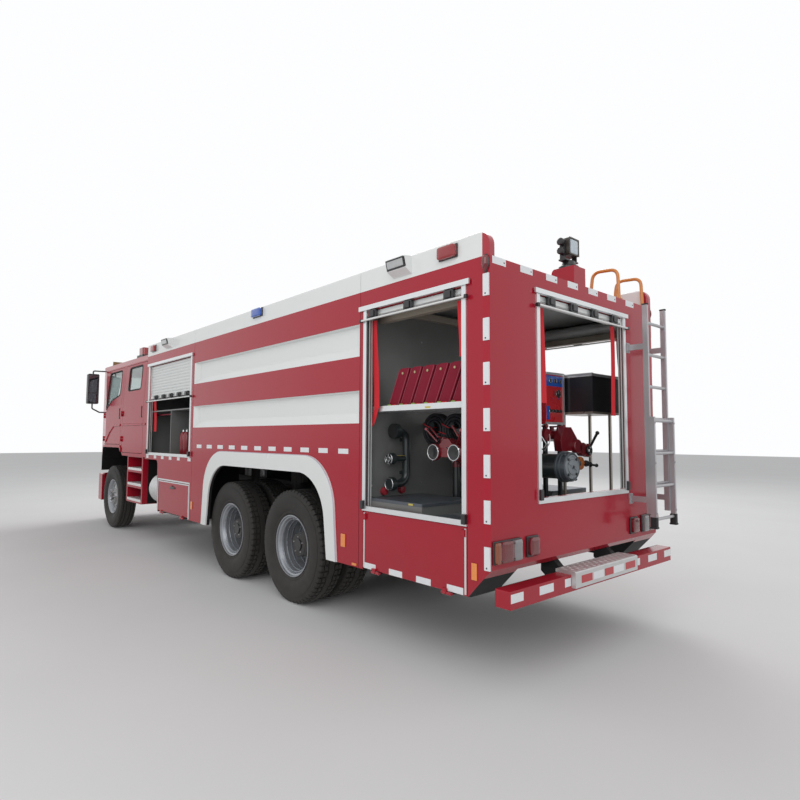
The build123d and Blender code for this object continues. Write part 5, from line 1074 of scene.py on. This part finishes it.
piece("drain_flange", join(flange, flange_bolts), flange_brown, "hoop_orange", smooth=True)
spout = [pipe([(0.335, -0.52, 1.43), (0.335, -0.74, 1.408)], 0.0115, 14),
    ball((0.335, -0.748, 1.407), 0.018), turned_form([(0.026, -0.06), (0.03, -0.03), (0.018, 0.0)],
    (0.335, -0.53, 1.43), 1, 22), hoop((0.335, -0.64, 1.418), 1, 0.016, 0.007, 20, 8),
    pipe([(0.345, -0.47, 1.434), (0.52, -0.18, 1.43)], 0.03, 16)]
piece("drain_spout", join(*spout), catch_black, "pump_iron", smooth=True)

# Tail-side valve gear above the inlet: a cast wedge, a geared valve and its long lever.
wedge = prism([(-0.44, 1.765), (-0.56, 1.765), (-0.72, 1.6), (-0.72, 1.54), (-0.4, 1.54), (-0.38, 1.64)], 0,
    0.48, 0.56)
gear = [turned_form([(0.062, 0.0), (0.066, 0.006), (0.066, 0.05), (0.05, 0.06)], (0.44, y, z), 0, 28)
    for y, z in ((-0.62, 1.585), (-0.71, 1.555), (-0.8, 1.545))]
piece("valve_wedge", join(wedge, *gear), manifold_red, "red_paint", bevel=0.003)
lever = pipe([(0.44, -0.8, 1.56), (0.44, -0.955, 1.708)], 0.013, 14)
grip = ball((0.44, -0.962, 1.714), 0.02)
piece("valve_lever", join(lever, grip, hoop((0.436, -0.8, 1.545), 0, 0.036, 0.012, 24)), catch_black,
    "black_plastic", smooth=True)
piece("valve_hub", turned_form([(0.024, 0.0), (0.03, 0.006), (0.03, 0.02)], (0.42, -0.8, 1.545), 0, 24),
    chrome, "aluminium", smooth=True)
small_pipes = [pipe(rounded_path(run, 0.03, 6), r, 10) for r, run in ((0.007,
    [(0.56, -0.06, 1.56), (0.5, -0.05, 1.66), (0.5, -0.02, 1.74), (0.56, -0.02, 1.78)]),
    (0.006, [(0.52, -0.17, 1.545), (0.47, -0.19, 1.62), (0.5, -0.23, 1.7), (0.57, -0.24, 1.78)]),
    (0.006, [(0.52, -0.11, 1.545), (0.46, -0.13, 1.6), (0.5, -0.1, 1.68)]))]
piece("gauge_lines", join(*small_pipes), chrome, "aluminium", smooth=True)

# Locker: two powder extinguishers with chromed valves, a small hose reel on a stand
# and a dark red rail along the shelf, the same on both sides.
extinguisher_red = finish("extinguisher_red", (0.24, 0.01, 0.018), rough=0.3, coat=0.3, mottling=(0.06, 2.5))
BOTTLES = (5.83, 5.7)
bottles = [turned_form([(0.046, 0.0), (0.052, 0.008), (0.052, 0.27), (0.044, 0.306), (0.024, 0.328),
    (0.018, 0.334)], (x, 1.04, 1.398), 2, 28) for x in BOTTLES]
piece("extinguishers", both(*bottles), extinguisher_red, "red_paint", smooth=True)
necks = []
for x in BOTTLES:
    necks += [turned_form([(0.019, 0.0), (0.019, 0.03), (0.01, 0.036)], (x, 1.04, 1.73), 2, 18),
        pipe([(x - 0.04, 1.04, 1.772), (x + 0.056, 1.04, 1.78)], 0.006, 8),
        pipe([(x - 0.036, 1.04, 1.756), (x + 0.05, 1.04, 1.758)], 0.005, 8)]
piece("extinguisher_valves", both(*necks), chrome, "aluminium", smooth=True)
REEL_AT = (5.43, 1.02, 1.64)
reel = [turned_form([(0.2, -0.045), (0.204, -0.04), (0.204, -0.034)], REEL_AT, 1, 40),
    *(hoop(REEL_AT, 1, r, 0.014, 40, 8) for r in (0.11, 0.139, 0.168))]
piece("locker_reel", both(*reel), hose_black, "hose_rubber", smooth=True)
reel_stand = blocks([(5.41, 5.45, 0.96, 0.984, 1.396, 1.66), (5.3, 5.56, 0.9, 1.1, 1.394, 1.404)])
piece("reel_stand", both(reel_stand), pump_iron, "pump_iron", bevel=0.003)
piece("locker_rails", both(blocks([(6.0, 6.74, 1.09, 1.11, 1.985, 2.005)])), case_wine, "red_paint",
    bevel=0.004)

# Chassis: ladder frame, springs and axle beams in semi-matt black with road dust, and
# the gearbox, shafts and engine in machine grey.
frame_black = finish("frame_black", (0.022, 0.022, 0.024), rough=0.55, mottling=(0.25, 5.0),
    grain=(0.12, 120.0), rough_spread=0.12)
soiled(frame_black, (0.13, 0.115, 0.1), 0.45, 7.0, 7.0)
for name in ["chassis_frame", "axles_and_springs"] + [f"knuckle_{side}" for side in SIDES]:
    dress(name, frame_black)
machine_grey = finish("machine_grey", (0.14, 0.145, 0.15), rough=0.5, metal=0.3, mottling=(0.25, 8.0),
    grain=(0.2, 110.0), rough_spread=0.12)
dress("drive_train", machine_grey)
tank_silver = finish("tank_silver", (0.6, 0.61, 0.61), rough=0.36, metal=0.6, mottling=(0.1, 5.0),
    grain=(0.05, 180.0), rough_spread=0.1)
dress("side_tanks", tank_silver)

# Step flaps and skirt doors: red sheet leaves with an aluminium edge post, a top line
# and a black oval pull.
low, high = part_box("step_flap_left")
x0, x1 = low[0] - rear_wall, high[0] - rear_wall
post = blocks([(x, x + 0.017, 1.2255, 1.228, low[2] + 0.03, high[2] - 0.012)
    for x in (x0 + 0.004, x1 - 0.021)])
sided("flap_edges", post, aluminium, "aluminium", "rear_step_flap", bevel=0.0008)
low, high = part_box("skirt_door_left")
x0, x1, top = low[0] - rear_wall, high[0] - rear_wall, high[2]
line = blocks([(x0 + 0.004, x1 - 0.004, 1.2255, 1.2275, top - 0.018, top - 0.004),
    (x0 + 0.004, x0 + 0.016, 1.2255, 1.2275, low[2] + 0.01, top - 0.018)])
sided("skirt_door_edges", line, aluminium, "aluminium", "low_skirt_door", bevel=0.0008)
pull = pillow(x0 + 0.49, x0 + 0.69, 1.2255, 1.2325, top - 0.1, top - 0.064, 1, 0.003, rows=8, power=2.6)
sided("skirt_door_pull", pull, catch_black, "black_plastic", "low_skirt_door", smooth=True)

# Cab glass: green-tinted laminated panes held in black rubber beads.
glass = bpy.data.materials.new("cab_pane")
glass.use_nodes = True
tree = glass.node_tree
shader = inputs_of(glass)
for name, value in (("Base Color", (0.62, 0.72, 0.7, 1.0)), ("Transmission Weight", 0.86), ("IOR", 1.45)):
    shader[name].default_value = value
streaks = node_of(tree, "TexNoise", Vector=where(tree), Scale=4.0, Detail=5.0)
tree.links.new(ramp(tree, streaks.outputs["Fac"], 0.01, 0.07), shader["Roughness"])
dress("cab_glass", glass)
for end in ("front", "rear"):
    for side in SIDES:
        dress(f"door_glass_{end}_{side}", glass)
CAB_HALF, TAPER_X, TAPER = 1.17, 9.35, 0.11 / 0.61


def side_skin(x, z):
    """The cab side's half width: the lesser of its section at z and its plan at x."""
    return np.minimum(CAB_HALF - 0.048 * np.clip((z - 2.2) / 0.72, 0.0, 1.0),
        CAB_HALF - TAPER * np.clip(x - TAPER_X, 0.0, 1.0))


def front_skin(y, z):
    """The cab front's station: the lesser of its side outline at z and its plan at y."""
    return np.minimum(np.interp(z, (1.95, 2.12, 3.05), (10.22, 10.15, 9.97)),
        np.interp(np.abs(y), (0.0, 0.87, 1.06), (10.2, 10.16, 9.96)))


def ring_path(corners, bend, spacing=0.04):
    """A closed outline with rounded corners, resampled at even steps."""
    corners = np.array(corners, float)
    middle = (corners[0] + corners[-1]) / 2
    path = rounded_path([middle, *corners, middle], bend, 8)
    run = np.concatenate([[0.0], np.cumsum(np.linalg.norm(np.diff(path, axis=0), axis=1))])
    even = np.linspace(0.0, run[-1], max(int(run[-1] / spacing), 12) + 1)[:-1]
    return np.stack([np.interp(even, run, path[:, 0]), np.interp(even, run, path[:, 1])], axis=-1)


def bead(path, wide, proud, outward, count=8):
    """A closed rubber bead: an ellipse carried round a closed path of points."""
    path = np.array(path, float)
    run = np.roll(path, -1, axis=0) - np.roll(path, 1, axis=0)
    run /= np.linalg.norm(run, axis=1, keepdims=True)
    out = np.broadcast_to(np.array(outward, float), path.shape)
    aside = np.cross(run, out)
    aside /= np.linalg.norm(aside, axis=1, keepdims=True)
    angle = angles(count)
    across, rise = wide * np.cos(angle)[None, :, None], proud * np.sin(angle)[None, :, None]
    points = path[:, None] + across * aside[:, None] + rise * out[:, None]
    faces = (np.array(skin(len(path) + 1, count)) % (len(path) * count)).tolist()
    return points.reshape(-1, 3), faces


WINDOWS = {"front": [(8.555, 2.405), (9.02, 2.33), (9.37, 2.15), (9.3, 2.85), (8.555, 2.85)],
    "rear": [(7.44, 2.45), (8.11, 2.45), (8.11, 2.85), (7.44, 2.85)]}
for end, corners in WINDOWS.items():
    ring = ring_path(corners, 0.05)
    y = side_skin(ring[:, 0], ring[:, 1])
    shape = bead(np.stack([ring[:, 0], y - 0.001, ring[:, 1]], axis=-1), 0.013, 0.006, along_y)
    sided(f"door_gasket_{end}", shape, seal_rubber, "black_plastic", f"cab_door_{end}", smooth=True)
ring = ring_path([(-0.96, 2.13), (0.96, 2.13), (0.9, 2.89), (-0.9, 2.89)], 0.07)
shape = bead(np.stack([front_skin(ring[:, 0], ring[:, 1]), ring[:, 0], ring[:, 1]], axis=-1), 0.018, 0.008,
    (0.97, 0.0, 0.24))
piece("windscreen_gasket", shape, seal_rubber, "black_plastic", smooth=True)
wipers = []
for y0, y1 in ((-0.62, -0.08), (0.1, 0.64)):
    y = np.linspace(y0, y1, 9)
    z = 2.205 + 0.05 * (y - y0) / (y1 - y0)
    wipers.append(pipe(np.stack([front_skin(y, z) + 0.012, y, z], axis=-1), 0.008, 8))
    wipers.append(pipe([(10.15, y0 + 0.05, 2.095),
        (float(front_skin(y0 + 0.3, 2.23)) + 0.02, y0 + 0.3, 2.23)], 0.008, 8))
piece("wipers", join(*wipers), catch_black, "black_plastic", smooth=True)

# Door pulls: each grip bar stands in a black cup, between two end blocks, at the rear
# edge of its door.
for end, back in (("front", 8.424), ("rear", 7.226)):
    cup = blocks([(back + 0.062, back + 0.116, 1.1535, 1.1565, 1.977, 2.158)])
    grip = pipe([(back + 0.089, 1.1665, z) for z in (1.974, 2.161)], 0.0115, 14, along_x)
    ends = blocks([(back + 0.074, back + 0.104, 1.155, 1.178, z, z + 0.022) for z in (1.976, 2.137)])
    sided(f"door_pull_{end}", join(cup, grip, ends), catch_black, "black_plastic", f"cab_door_{end}",
        bevel=0.002)

# Cab steps and mirrors: chequer aluminium on each tread; silvered glass in black
# plastic housings.
STEP_Z = (0.634, 0.886, 1.136)
COARSE = {"pitch": 0.044, "length": 0.034, "width": 0.01}
tread_shapes = []
for z in STEP_Z:
    tread_shapes += [blocks([(7.244, 7.936, 0.934, 1.158, z + 0.0002, z + 0.006)]),
        treads(7.25, 7.93, 0.94, 1.152, z + 0.006, **COARSE)]
edge_rows = [(7.246, 7.934, 1.1595, 1.1635, z - 0.034, z + 0.006) for z in STEP_Z]
piece("crew_step_plates", both(*tread_shapes), step_alloy, "aluminium")
piece("crew_step_edges", both(blocks(edge_rows)), bar_white, "aluminium", bevel=0.001)
front_tread = join(blocks([(9.77, 9.96, 0.905, 1.035, 1.0105, 1.016)]),
    treads(9.775, 9.955, 0.91, 1.03, 1.016, **COARSE))
piece("front_step_plates", both(front_tread), step_alloy, "aluminium")
mirror_silver = finish("mirror_silver", (0.16, 0.15, 0.17), rough=0.06, metal=1.0, mottling=(0.02, 2.5),
    rough_spread=0.02)
mirror_rows = [(9.7455, 9.749, 1.233, 1.392, z0, z1) for z0, z1 in ((2.505, 2.846), (2.314, 2.49))]
piece("mirror_glass", both(blocks(mirror_rows)), mirror_silver, "aluminium", bevel=0.0015)
trim_black, visor_trim = (finish(name, (0.03, 0.031, 0.033), rough=rough, coat=0.1, mottling=(0.14, 7.0),
    grain=(0.1, 420.0)) for name, rough in (("trim_black", 0.45), ("visor_trim", 0.4)))
dress("grille", trim_black)
repaint(visor_trim, (0.26, 0.17, 0.06), within(visor_trim, Z=(2.955, 3.4), X=(9.92, 20.0)))
dress("black_trim", visor_trim)

# Head lamps: twin chromed bowls on a dark plate behind one clear cover each side,
# turned outwards with the bumper's corner.
def turned(shape, angle, centre, axis=2):
    """A shape turned about one axis through centre by an angle in radians."""
    points, faces = shape
    a, b = ((1, 2), (2, 0), (0, 1))[axis]
    off = points - np.array(centre)
    out = off.copy()
    out[:, a] = off[:, a] * np.cos(angle) - off[:, b] * np.sin(angle)
    out[:, b] = off[:, a] * np.sin(angle) + off[:, b] * np.cos(angle)
    return out + centre, faces


LAMP_X, LAMP_Y, LAMP_Z, LAMP_TURN = 10.3, 0.77, 0.71, np.radians(22.0)
lamp_centre = (LAMP_X, LAMP_Y, LAMP_Z)
bowls = [turned_form([(0.014, -0.038), (0.04, -0.026), (0.055, -0.008), (0.059, -0.002), (0.059, -0.012),
    (0.05, -0.03), (0.02, -0.044), (0.0, -0.044), (0.0, -0.038), (0.014, -0.038)],
    (LAMP_X, LAMP_Y + d, LAMP_Z), 0, 32) for d in (-0.072, 0.072)]
backing = blocks([(LAMP_X - 0.0095, LAMP_X - 0.006, LAMP_Y - 0.146, LAMP_Y + 0.146, LAMP_Z - 0.071,
    LAMP_Z + 0.071)])
lamp_cover = pillow(LAMP_X + 0.004, LAMP_X + 0.01, LAMP_Y - 0.147, LAMP_Y + 0.147, LAMP_Z - 0.072,
    LAMP_Z + 0.072, 0, 0.008, rows=10, power=8.0)
piece("headlamp_bowls", both(turned(join(*bowls), LAMP_TURN, lamp_centre)), chrome, "aluminium", smooth=True)
piece("headlamp_backing", both(turned(backing, LAMP_TURN, lamp_centre)), catch_black, "black_plastic")
clear_cover = lens_material("clear_cover", (0.8, 0.84, 0.85), ribs=90.0, rough=0.05)
inputs_of(clear_cover)["Transmission Weight"].default_value = 0.92
piece("headlamp_covers", both(turned(lamp_cover, LAMP_TURN, lamp_centre)), clear_cover, "lens_clear",
    smooth=True)

# Light bar: five red lens modules either side of a blue one, with dark seams between.
MODULE_Y = (0.17, 0.326, 0.482, 0.638, 0.794)
red_modules = [pillow(8.052, 8.308, y, y + 0.15, 3.111, 3.238, 2, 0.014, rows=8, power=5.0)
    for y in MODULE_Y]
piece("lightbar_lenses_red", both(*red_modules), lens_red, "lens_red", smooth=True, hides=("red_lamps",))
piece("lightbar_lens_blue", pillow(8.052, 8.308, -0.166, 0.166, 3.111, 3.224, 2, 0.01, rows=8, power=5.0),
    lens_blue, "lens_blue", smooth=True, hides=("blue_lamps",))
seams = blocks([(8.049, 8.311, y + 0.151, y + 0.155, 3.111, 3.232) for y in MODULE_Y[:-1]])
piece("lightbar_seams", both(seams), catch_black, "black_plastic")

# Searchlight: bronze-grey box with a pale lens towards the tail in a plain frame, and
# two round motor housings on its side arm.
lamp_bronze = finish("lamp_bronze", (0.075, 0.068, 0.06), rough=0.35, metal=0.5, mottling=(0.15, 14.0),
    grain=(0.08, 200.0))
dress("searchlight_head", lamp_bronze)
dress("searchlight_yoke", catch_black)
lens_pale = lens_material("lens_pale", (0.62, 0.72, 0.8), ribs=260.0, rough=0.08)
piece("searchlight_lens", pillow(0.0475, 0.052, -0.004, 0.118, 3.192, 3.308, 0, -0.003, rows=10, power=7.0),
    lens_pale, "lens_clear", body="searchlight_nodding_head", smooth=True)
frame_rows = [(0.044, 0.048, *row) for row in ((-0.017, -0.004, 3.178, 3.322), (0.118, 0.131, 3.178, 3.322),
    (-0.004, 0.118, 3.178, 3.19), (-0.004, 0.118, 3.31, 3.322))]
piece("searchlight_frame", blocks(frame_rows), lamp_bronze, "aluminium", body="searchlight_nodding_head",
    bevel=0.001)
knobs = [turned_form([(0.026, 0.0), (0.031, 0.006), (0.031, 0.03), (0.024, 0.038), (0.0, 0.04)],
    (0.102, 0.152, z), 1, 24) for z in (3.282, 3.205)]
piece("searchlight_motors", join(*knobs), catch_black, "black_plastic", body="searchlight_turning_yoke",
    smooth=True)

# Side tanks: a ribbed silver air tank lies along the left of the frame behind the
# steps, a strapped aluminium fuel tank along the right.
rib_x = np.linspace(0.045, 0.425, 77)
rib_r = 0.213 + 0.02 * np.abs(np.cos((rib_x - 0.045) / 0.095 * np.pi)) ** 0.6
tank_profile = [(0.0, 0.0), (0.12, 0.004), (0.185, 0.018), (0.208, 0.036), *zip(rib_r, rib_x),
    (0.208, 0.434), (0.185, 0.452), (0.12, 0.466), (0.0, 0.47)]
piece("air_tank", turned_form(tank_profile, (6.376, 0.948, 0.86), 0, 56), tank_silver, "tank_silver",
    smooth=True, hides=("side_tanks",))
cradle_rows = [(x, x + 0.05, 0.435, 0.76, 0.9, 0.93) for x in (6.47, 6.7)]
piece("fuel_tank", blocks([(6.374, 7.126, -1.146, -0.564, 0.604, 1.146)]), tank_silver, "tank_silver",
    bevel=0.055)
STRAP_LOOP = ((-1.151, 0.66), (-1.151, 1.151), (-0.559, 1.151), (-0.559, 0.599), (-1.151, 0.599),
    (-1.151, 0.66))
strap_rows = []
for x in (6.52, 6.96):
    strap_rows += [pipe(rounded_path([(x, y, z) for y, z in STRAP_LOOP], 0.06), 0.004, 8, along_x),
        blocks([(x - 0.02, x + 0.02, -0.56, -0.432, 0.88, 0.96)])]
piece("tank_straps", join(*strap_rows, blocks(cradle_rows)), frame_black, "frame_black")
piece("fuel_cap", turned_form([(0.05, -0.02), (0.054, -0.012), (0.054, 0.012), (0.046, 0.02)],
    (6.56, -1.02, 1.158), 2, 28), catch_black, "black_plastic", smooth=True)

# Cab interior: moulded grey dash with a hood and a console, a steering wheel with
# crossed spokes on its column, and the boxes that the seats stand on.
dash_grey = finish("dash_grey", (0.045, 0.046, 0.05), rough=0.6, mottling=(0.12, 9.0), grain=(0.2, 420.0))
dash = prism([(9.702, 1.514), (9.762, 1.514), (9.762, 1.8), (10.058, 1.9), (10.058, 2.074), (9.93, 2.074),
    (9.642, 2.046), (9.602, 1.9)], 1, -0.898, 0.898)
hood = prism([(9.64, 2.044), (9.7, 2.052), (9.72, 2.076), (9.64, 2.074)], 1, 0.36, 0.88)
console = blocks([(9.422, 9.658, -0.138, 0.138, 1.642, 1.948)])
SEATS = [(8.7, y, 1.512) for y in (0.62, -0.62)] + [(7.42, y, 1.377) for y in (0.78, 0.26, -0.26, -0.78)]
seat_boxes = blocks([(x + 0.062, x + 0.418, y - 0.178, y + 0.178, z, z + 0.299) for x, y, z in SEATS])
piece("dashboard", join(dash, hood, console), dash_grey, "seat_fabric", bevel=0.01, hides=("cab_interior",))
piece("seat_boxes", seat_boxes, dash_grey, "seat_fabric", bevel=0.008)
WHEEL_AT, WHEEL_TILT = (9.56, 0.62, 2.08), np.radians(-35.0)
wheel = [hoop(WHEEL_AT, 2, 0.215, 0.015, 48, 12), turned_form([(0.05, -0.028), (0.058, -0.015),
    (0.058, 0.01), (0.04, 0.024), (0.0, 0.028)], WHEEL_AT, 2, 28),
    blocks([(9.365, 9.755, 0.606, 0.634, 2.074, 2.086), (9.546, 9.574, 0.425, 0.815, 2.074, 2.086)])]
column = turned_form([(0.034, -0.245), (0.034, -0.03)], WHEEL_AT, 2, 20)
piece("steering_wheel", turned(join(*wheel, column), -WHEEL_TILT, WHEEL_AT, 1), dash_grey, "black_plastic",
    smooth=True)

# Seats: foam cushions and backs in dark grey cloth over the boxes, blown up by a cloth
# simulation so that they crown and pull in between their corners.
seat_cloth = finish("seat_cloth", (0.05, 0.052, 0.058), rough=0.85, mottling=(0.15, 20.0),
    grain=(0.6, 1300.0))


VOXEL, PRESSURE, FRAMES, MOST_SWELL = 0.012, 4.0, 20, 0.012
SEAMLESS = 3.1


def blown(shape):
    """Points and faces of a cushion after remeshing and FRAMES steps of air pressure.

    No point may end further than MOST_SWELL from where it started."""
    points, faces = shape
    mesh = bpy.data.meshes.new("pad_try")
    mesh.from_pydata(np.asarray(points).tolist(), [], faces)
    made = bpy.data.objects.new("pad_try", mesh)
    bpy.context.scene.collection.objects.link(made)
    remesh = made.modifiers.new("even", "REMESH")
    remesh.mode = "VOXEL"
    remesh.voxel_size = VOXEL
    start = fixed_mesh(made)
    made.modifiers.clear()
    made.data = start
    rest = np.array([v.co for v in start.vertices])
    cloth = made.modifiers.new("air", "CLOTH")
    cloth.settings.use_pressure = True
    cloth.settings.uniform_pressure_force = PRESSURE
    cloth.settings.effector_weights.gravity = 0.0
    for step in range(1, FRAMES + 1):
        bpy.context.scene.frame_set(step)
    end = fixed_mesh(made)
    moved = np.array([v.co for v in end.vertices]) - rest
    far = np.linalg.norm(moved, axis=1, keepdims=True)
    rest = rest + moved * np.minimum(1.0, MOST_SWELL / np.maximum(far, 1e-9))
    bpy.context.scene.frame_set(1)
    faces = [list(p.vertices) for p in start.polygons]
    bpy.data.objects.remove(made)
    return rest, faces


def fixed_mesh(made):
    """A mesh copy of an object with its modifiers applied at the present frame."""
    seen = made.evaluated_get(bpy.context.evaluated_depsgraph_get())
    return bpy.data.meshes.new_from_object(seen)


cushion = blown(pillow(0.012, 0.468, -0.222, 0.222, 0.306, 0.406, 2, 0.006, rows=8, power=7.0))
back = blown(pillow(-0.05, 0.03, -0.215, 0.215, 0.425, 1.02, 0, 0.006, rows=8, power=7.0))
back[0][:, 0] += 0.04 - 0.1 * (back[0][:, 2] - 0.42)
head = pillow(-0.064, 0.002, -0.126, 0.126, 1.054, 1.196, 0, 0.008, rows=7, power=5.0)
piping = []
for k, (x, y, z) in enumerate(SEATS):
    shift = np.array([x, y, z])
    for name, (points, faces), fill in (("cushion", cushion, 0.7), ("back", back, 0.7),
            ("headrest", head, 0.8)):
        made = piece(f"seat_{name}_{k + 1}", (points + shift, faces), seat_cloth, "seat_fabric", smooth=True)
        made.data.set_sharp_from_angle(angle=SEAMLESS)
    piping += [pipe([(x - 0.035, y + d, z + 1.01), (x - 0.035, y + d, z + 1.075)], 0.007, 8, along_x)
        for d in (-0.05, 0.05)]
piece("headrest_posts", join(*piping), chrome, "aluminium", smooth=True)

# Control panel: a red steel face in an aluminium frame, with blue film at its head
# and foot, one dial gauge, three gauge glasses under the film and four black knobs.
panel_red = finish("panel_red", (0.6, 0.022, 0.03), rough=0.28, coat=0.2, mottling=(0.06, 6.0),
    grain=(0.03, 300.0))
film_blue = finish("film_blue", (0.015, 0.11, 0.52), rough=0.22, coat=0.3, mottling=(0.08, 9.0))
PANEL_X, PANEL_Y, PANEL_Z = 0.585, (-0.61, -0.31), (1.79, 2.28)
panel_case = blocks([(PANEL_X + 0.002, 0.69, PANEL_Y[0] + 0.002, PANEL_Y[1] - 0.002, PANEL_Z[0] + 0.002,
    PANEL_Z[1] - 0.002)])
piece("panel_case", panel_case, panel_red, "red_paint", bevel=0.004, hides=("control_panel",))
leg_rows = [(0.602, 0.638, y, y + 0.036, 1.06, PANEL_Z[0]) for y in (-0.598, -0.356)]
piece("panel_legs", blocks(leg_rows), pump_iron, "pump_iron", bevel=0.004)
film_rows = [(PANEL_X - back, PANEL_X - back + 0.004, *row) for back, row in (
    (0.0, (-0.588, -0.318, 2.15, 2.25)), (0.0, (-0.368, -0.318, 1.835, 1.962)),
    (0.001, (-0.436, -0.424, 2.03, 2.038)), (0.001, (-0.52, -0.506, 2.03, 2.038)))]
piece("panel_film", blocks(film_rows), film_blue, "red_paint", bevel=0.0006)
edge = 0.022
inner = PANEL_Y[0] + edge
frame_rows = [(PANEL_X - 0.008, PANEL_X + 0.012, *row) for row in ((PANEL_Y[0], inner, *PANEL_Z),
    (inner, PANEL_Y[1], PANEL_Z[0], PANEL_Z[0] + edge), (inner, PANEL_Y[1], PANEL_Z[1] - edge, PANEL_Z[1]))]
piece("panel_frame", blocks(frame_rows), aluminium, "aluminium", bevel=0.002)
DIALS = ((-0.51, 2.081, 0.036), (-0.54, 2.2, 0.02), (-0.46, 2.2, 0.02), (-0.38, 2.2, 0.02))
KNOB_Y = (-0.535, -0.482, -0.429, -0.376)
dials = [hoop((PANEL_X - 0.004, y, z), 0, r, 0.004, 32, 8) for y, z, r in DIALS]
dials += [hoop((PANEL_X - 0.002, y, 1.916), 0, 0.016, 0.003, 24, 8) for y in KNOB_Y]
piece("panel_rims", join(*dials), chrome, "aluminium", smooth=True)
knob_shapes = [turned_form([(0.009, -0.024), (0.012, -0.02), (0.012, -0.008), (0.016, -0.004),
    (0.016, 0.003)], (PANEL_X, y, 1.916), 0, 20) for y in KNOB_Y]
knob_shapes += [turned_form([(0.0, -0.003), (r - 0.002, -0.003), (r - 0.002, 0.003), (0.0, 0.003)],
    (PANEL_X, y, z), 0, 28) for y, z, r in DIALS]
knob_shapes.append(pipe([(PANEL_X - 0.002, -0.44, z) for z in (2.06, 2.11)], 0.003, 8, along_y))
piece("panel_knobs", join(*knob_shapes), catch_black, "black_plastic", smooth=True)
needle = blocks([(PANEL_X - 0.005, PANEL_X - 0.0035, -0.511, -0.509, 2.081, 2.106)])
piece("panel_needle", needle, tape, "white_paint")

# Equipment tray: dark glossy sheet walls under a bright folded rim and a beige foot.
tray_alloy = finish("tray_alloy", (0.74, 0.76, 0.77), rough=0.3, metal=0.55, mottling=(0.05, 6.0),
    grain=(0.05, 240.0), rough_spread=0.08)
for second, low, high in (((0.04, 0.04, 0.045), 1.912, 2.244), ((0.34, 0.3, 0.25), 1.0, 1.912)):
    repaint(tray_alloy, second, within(tray_alloy, Y=(-1.3, -0.6), Z=(low, high)))
dress("equipment_shelves", tray_alloy)
rim_rows = [(0.292, 0.302, -1.172, -0.612, 2.246, 2.27), (0.292, 0.586, -0.65, -0.618, 2.262, 2.274)]
piece("tray_rim", blocks(rim_rows), aluminium, "aluminium", bevel=0.002)
parcel = pillow(0.655, 0.722, -0.8, -0.655, 2.264, 2.288, 2, 0.006, rows=6, power=4.0)
piece("tray_pouch", parcel, case_wine, "case_red", smooth=True)
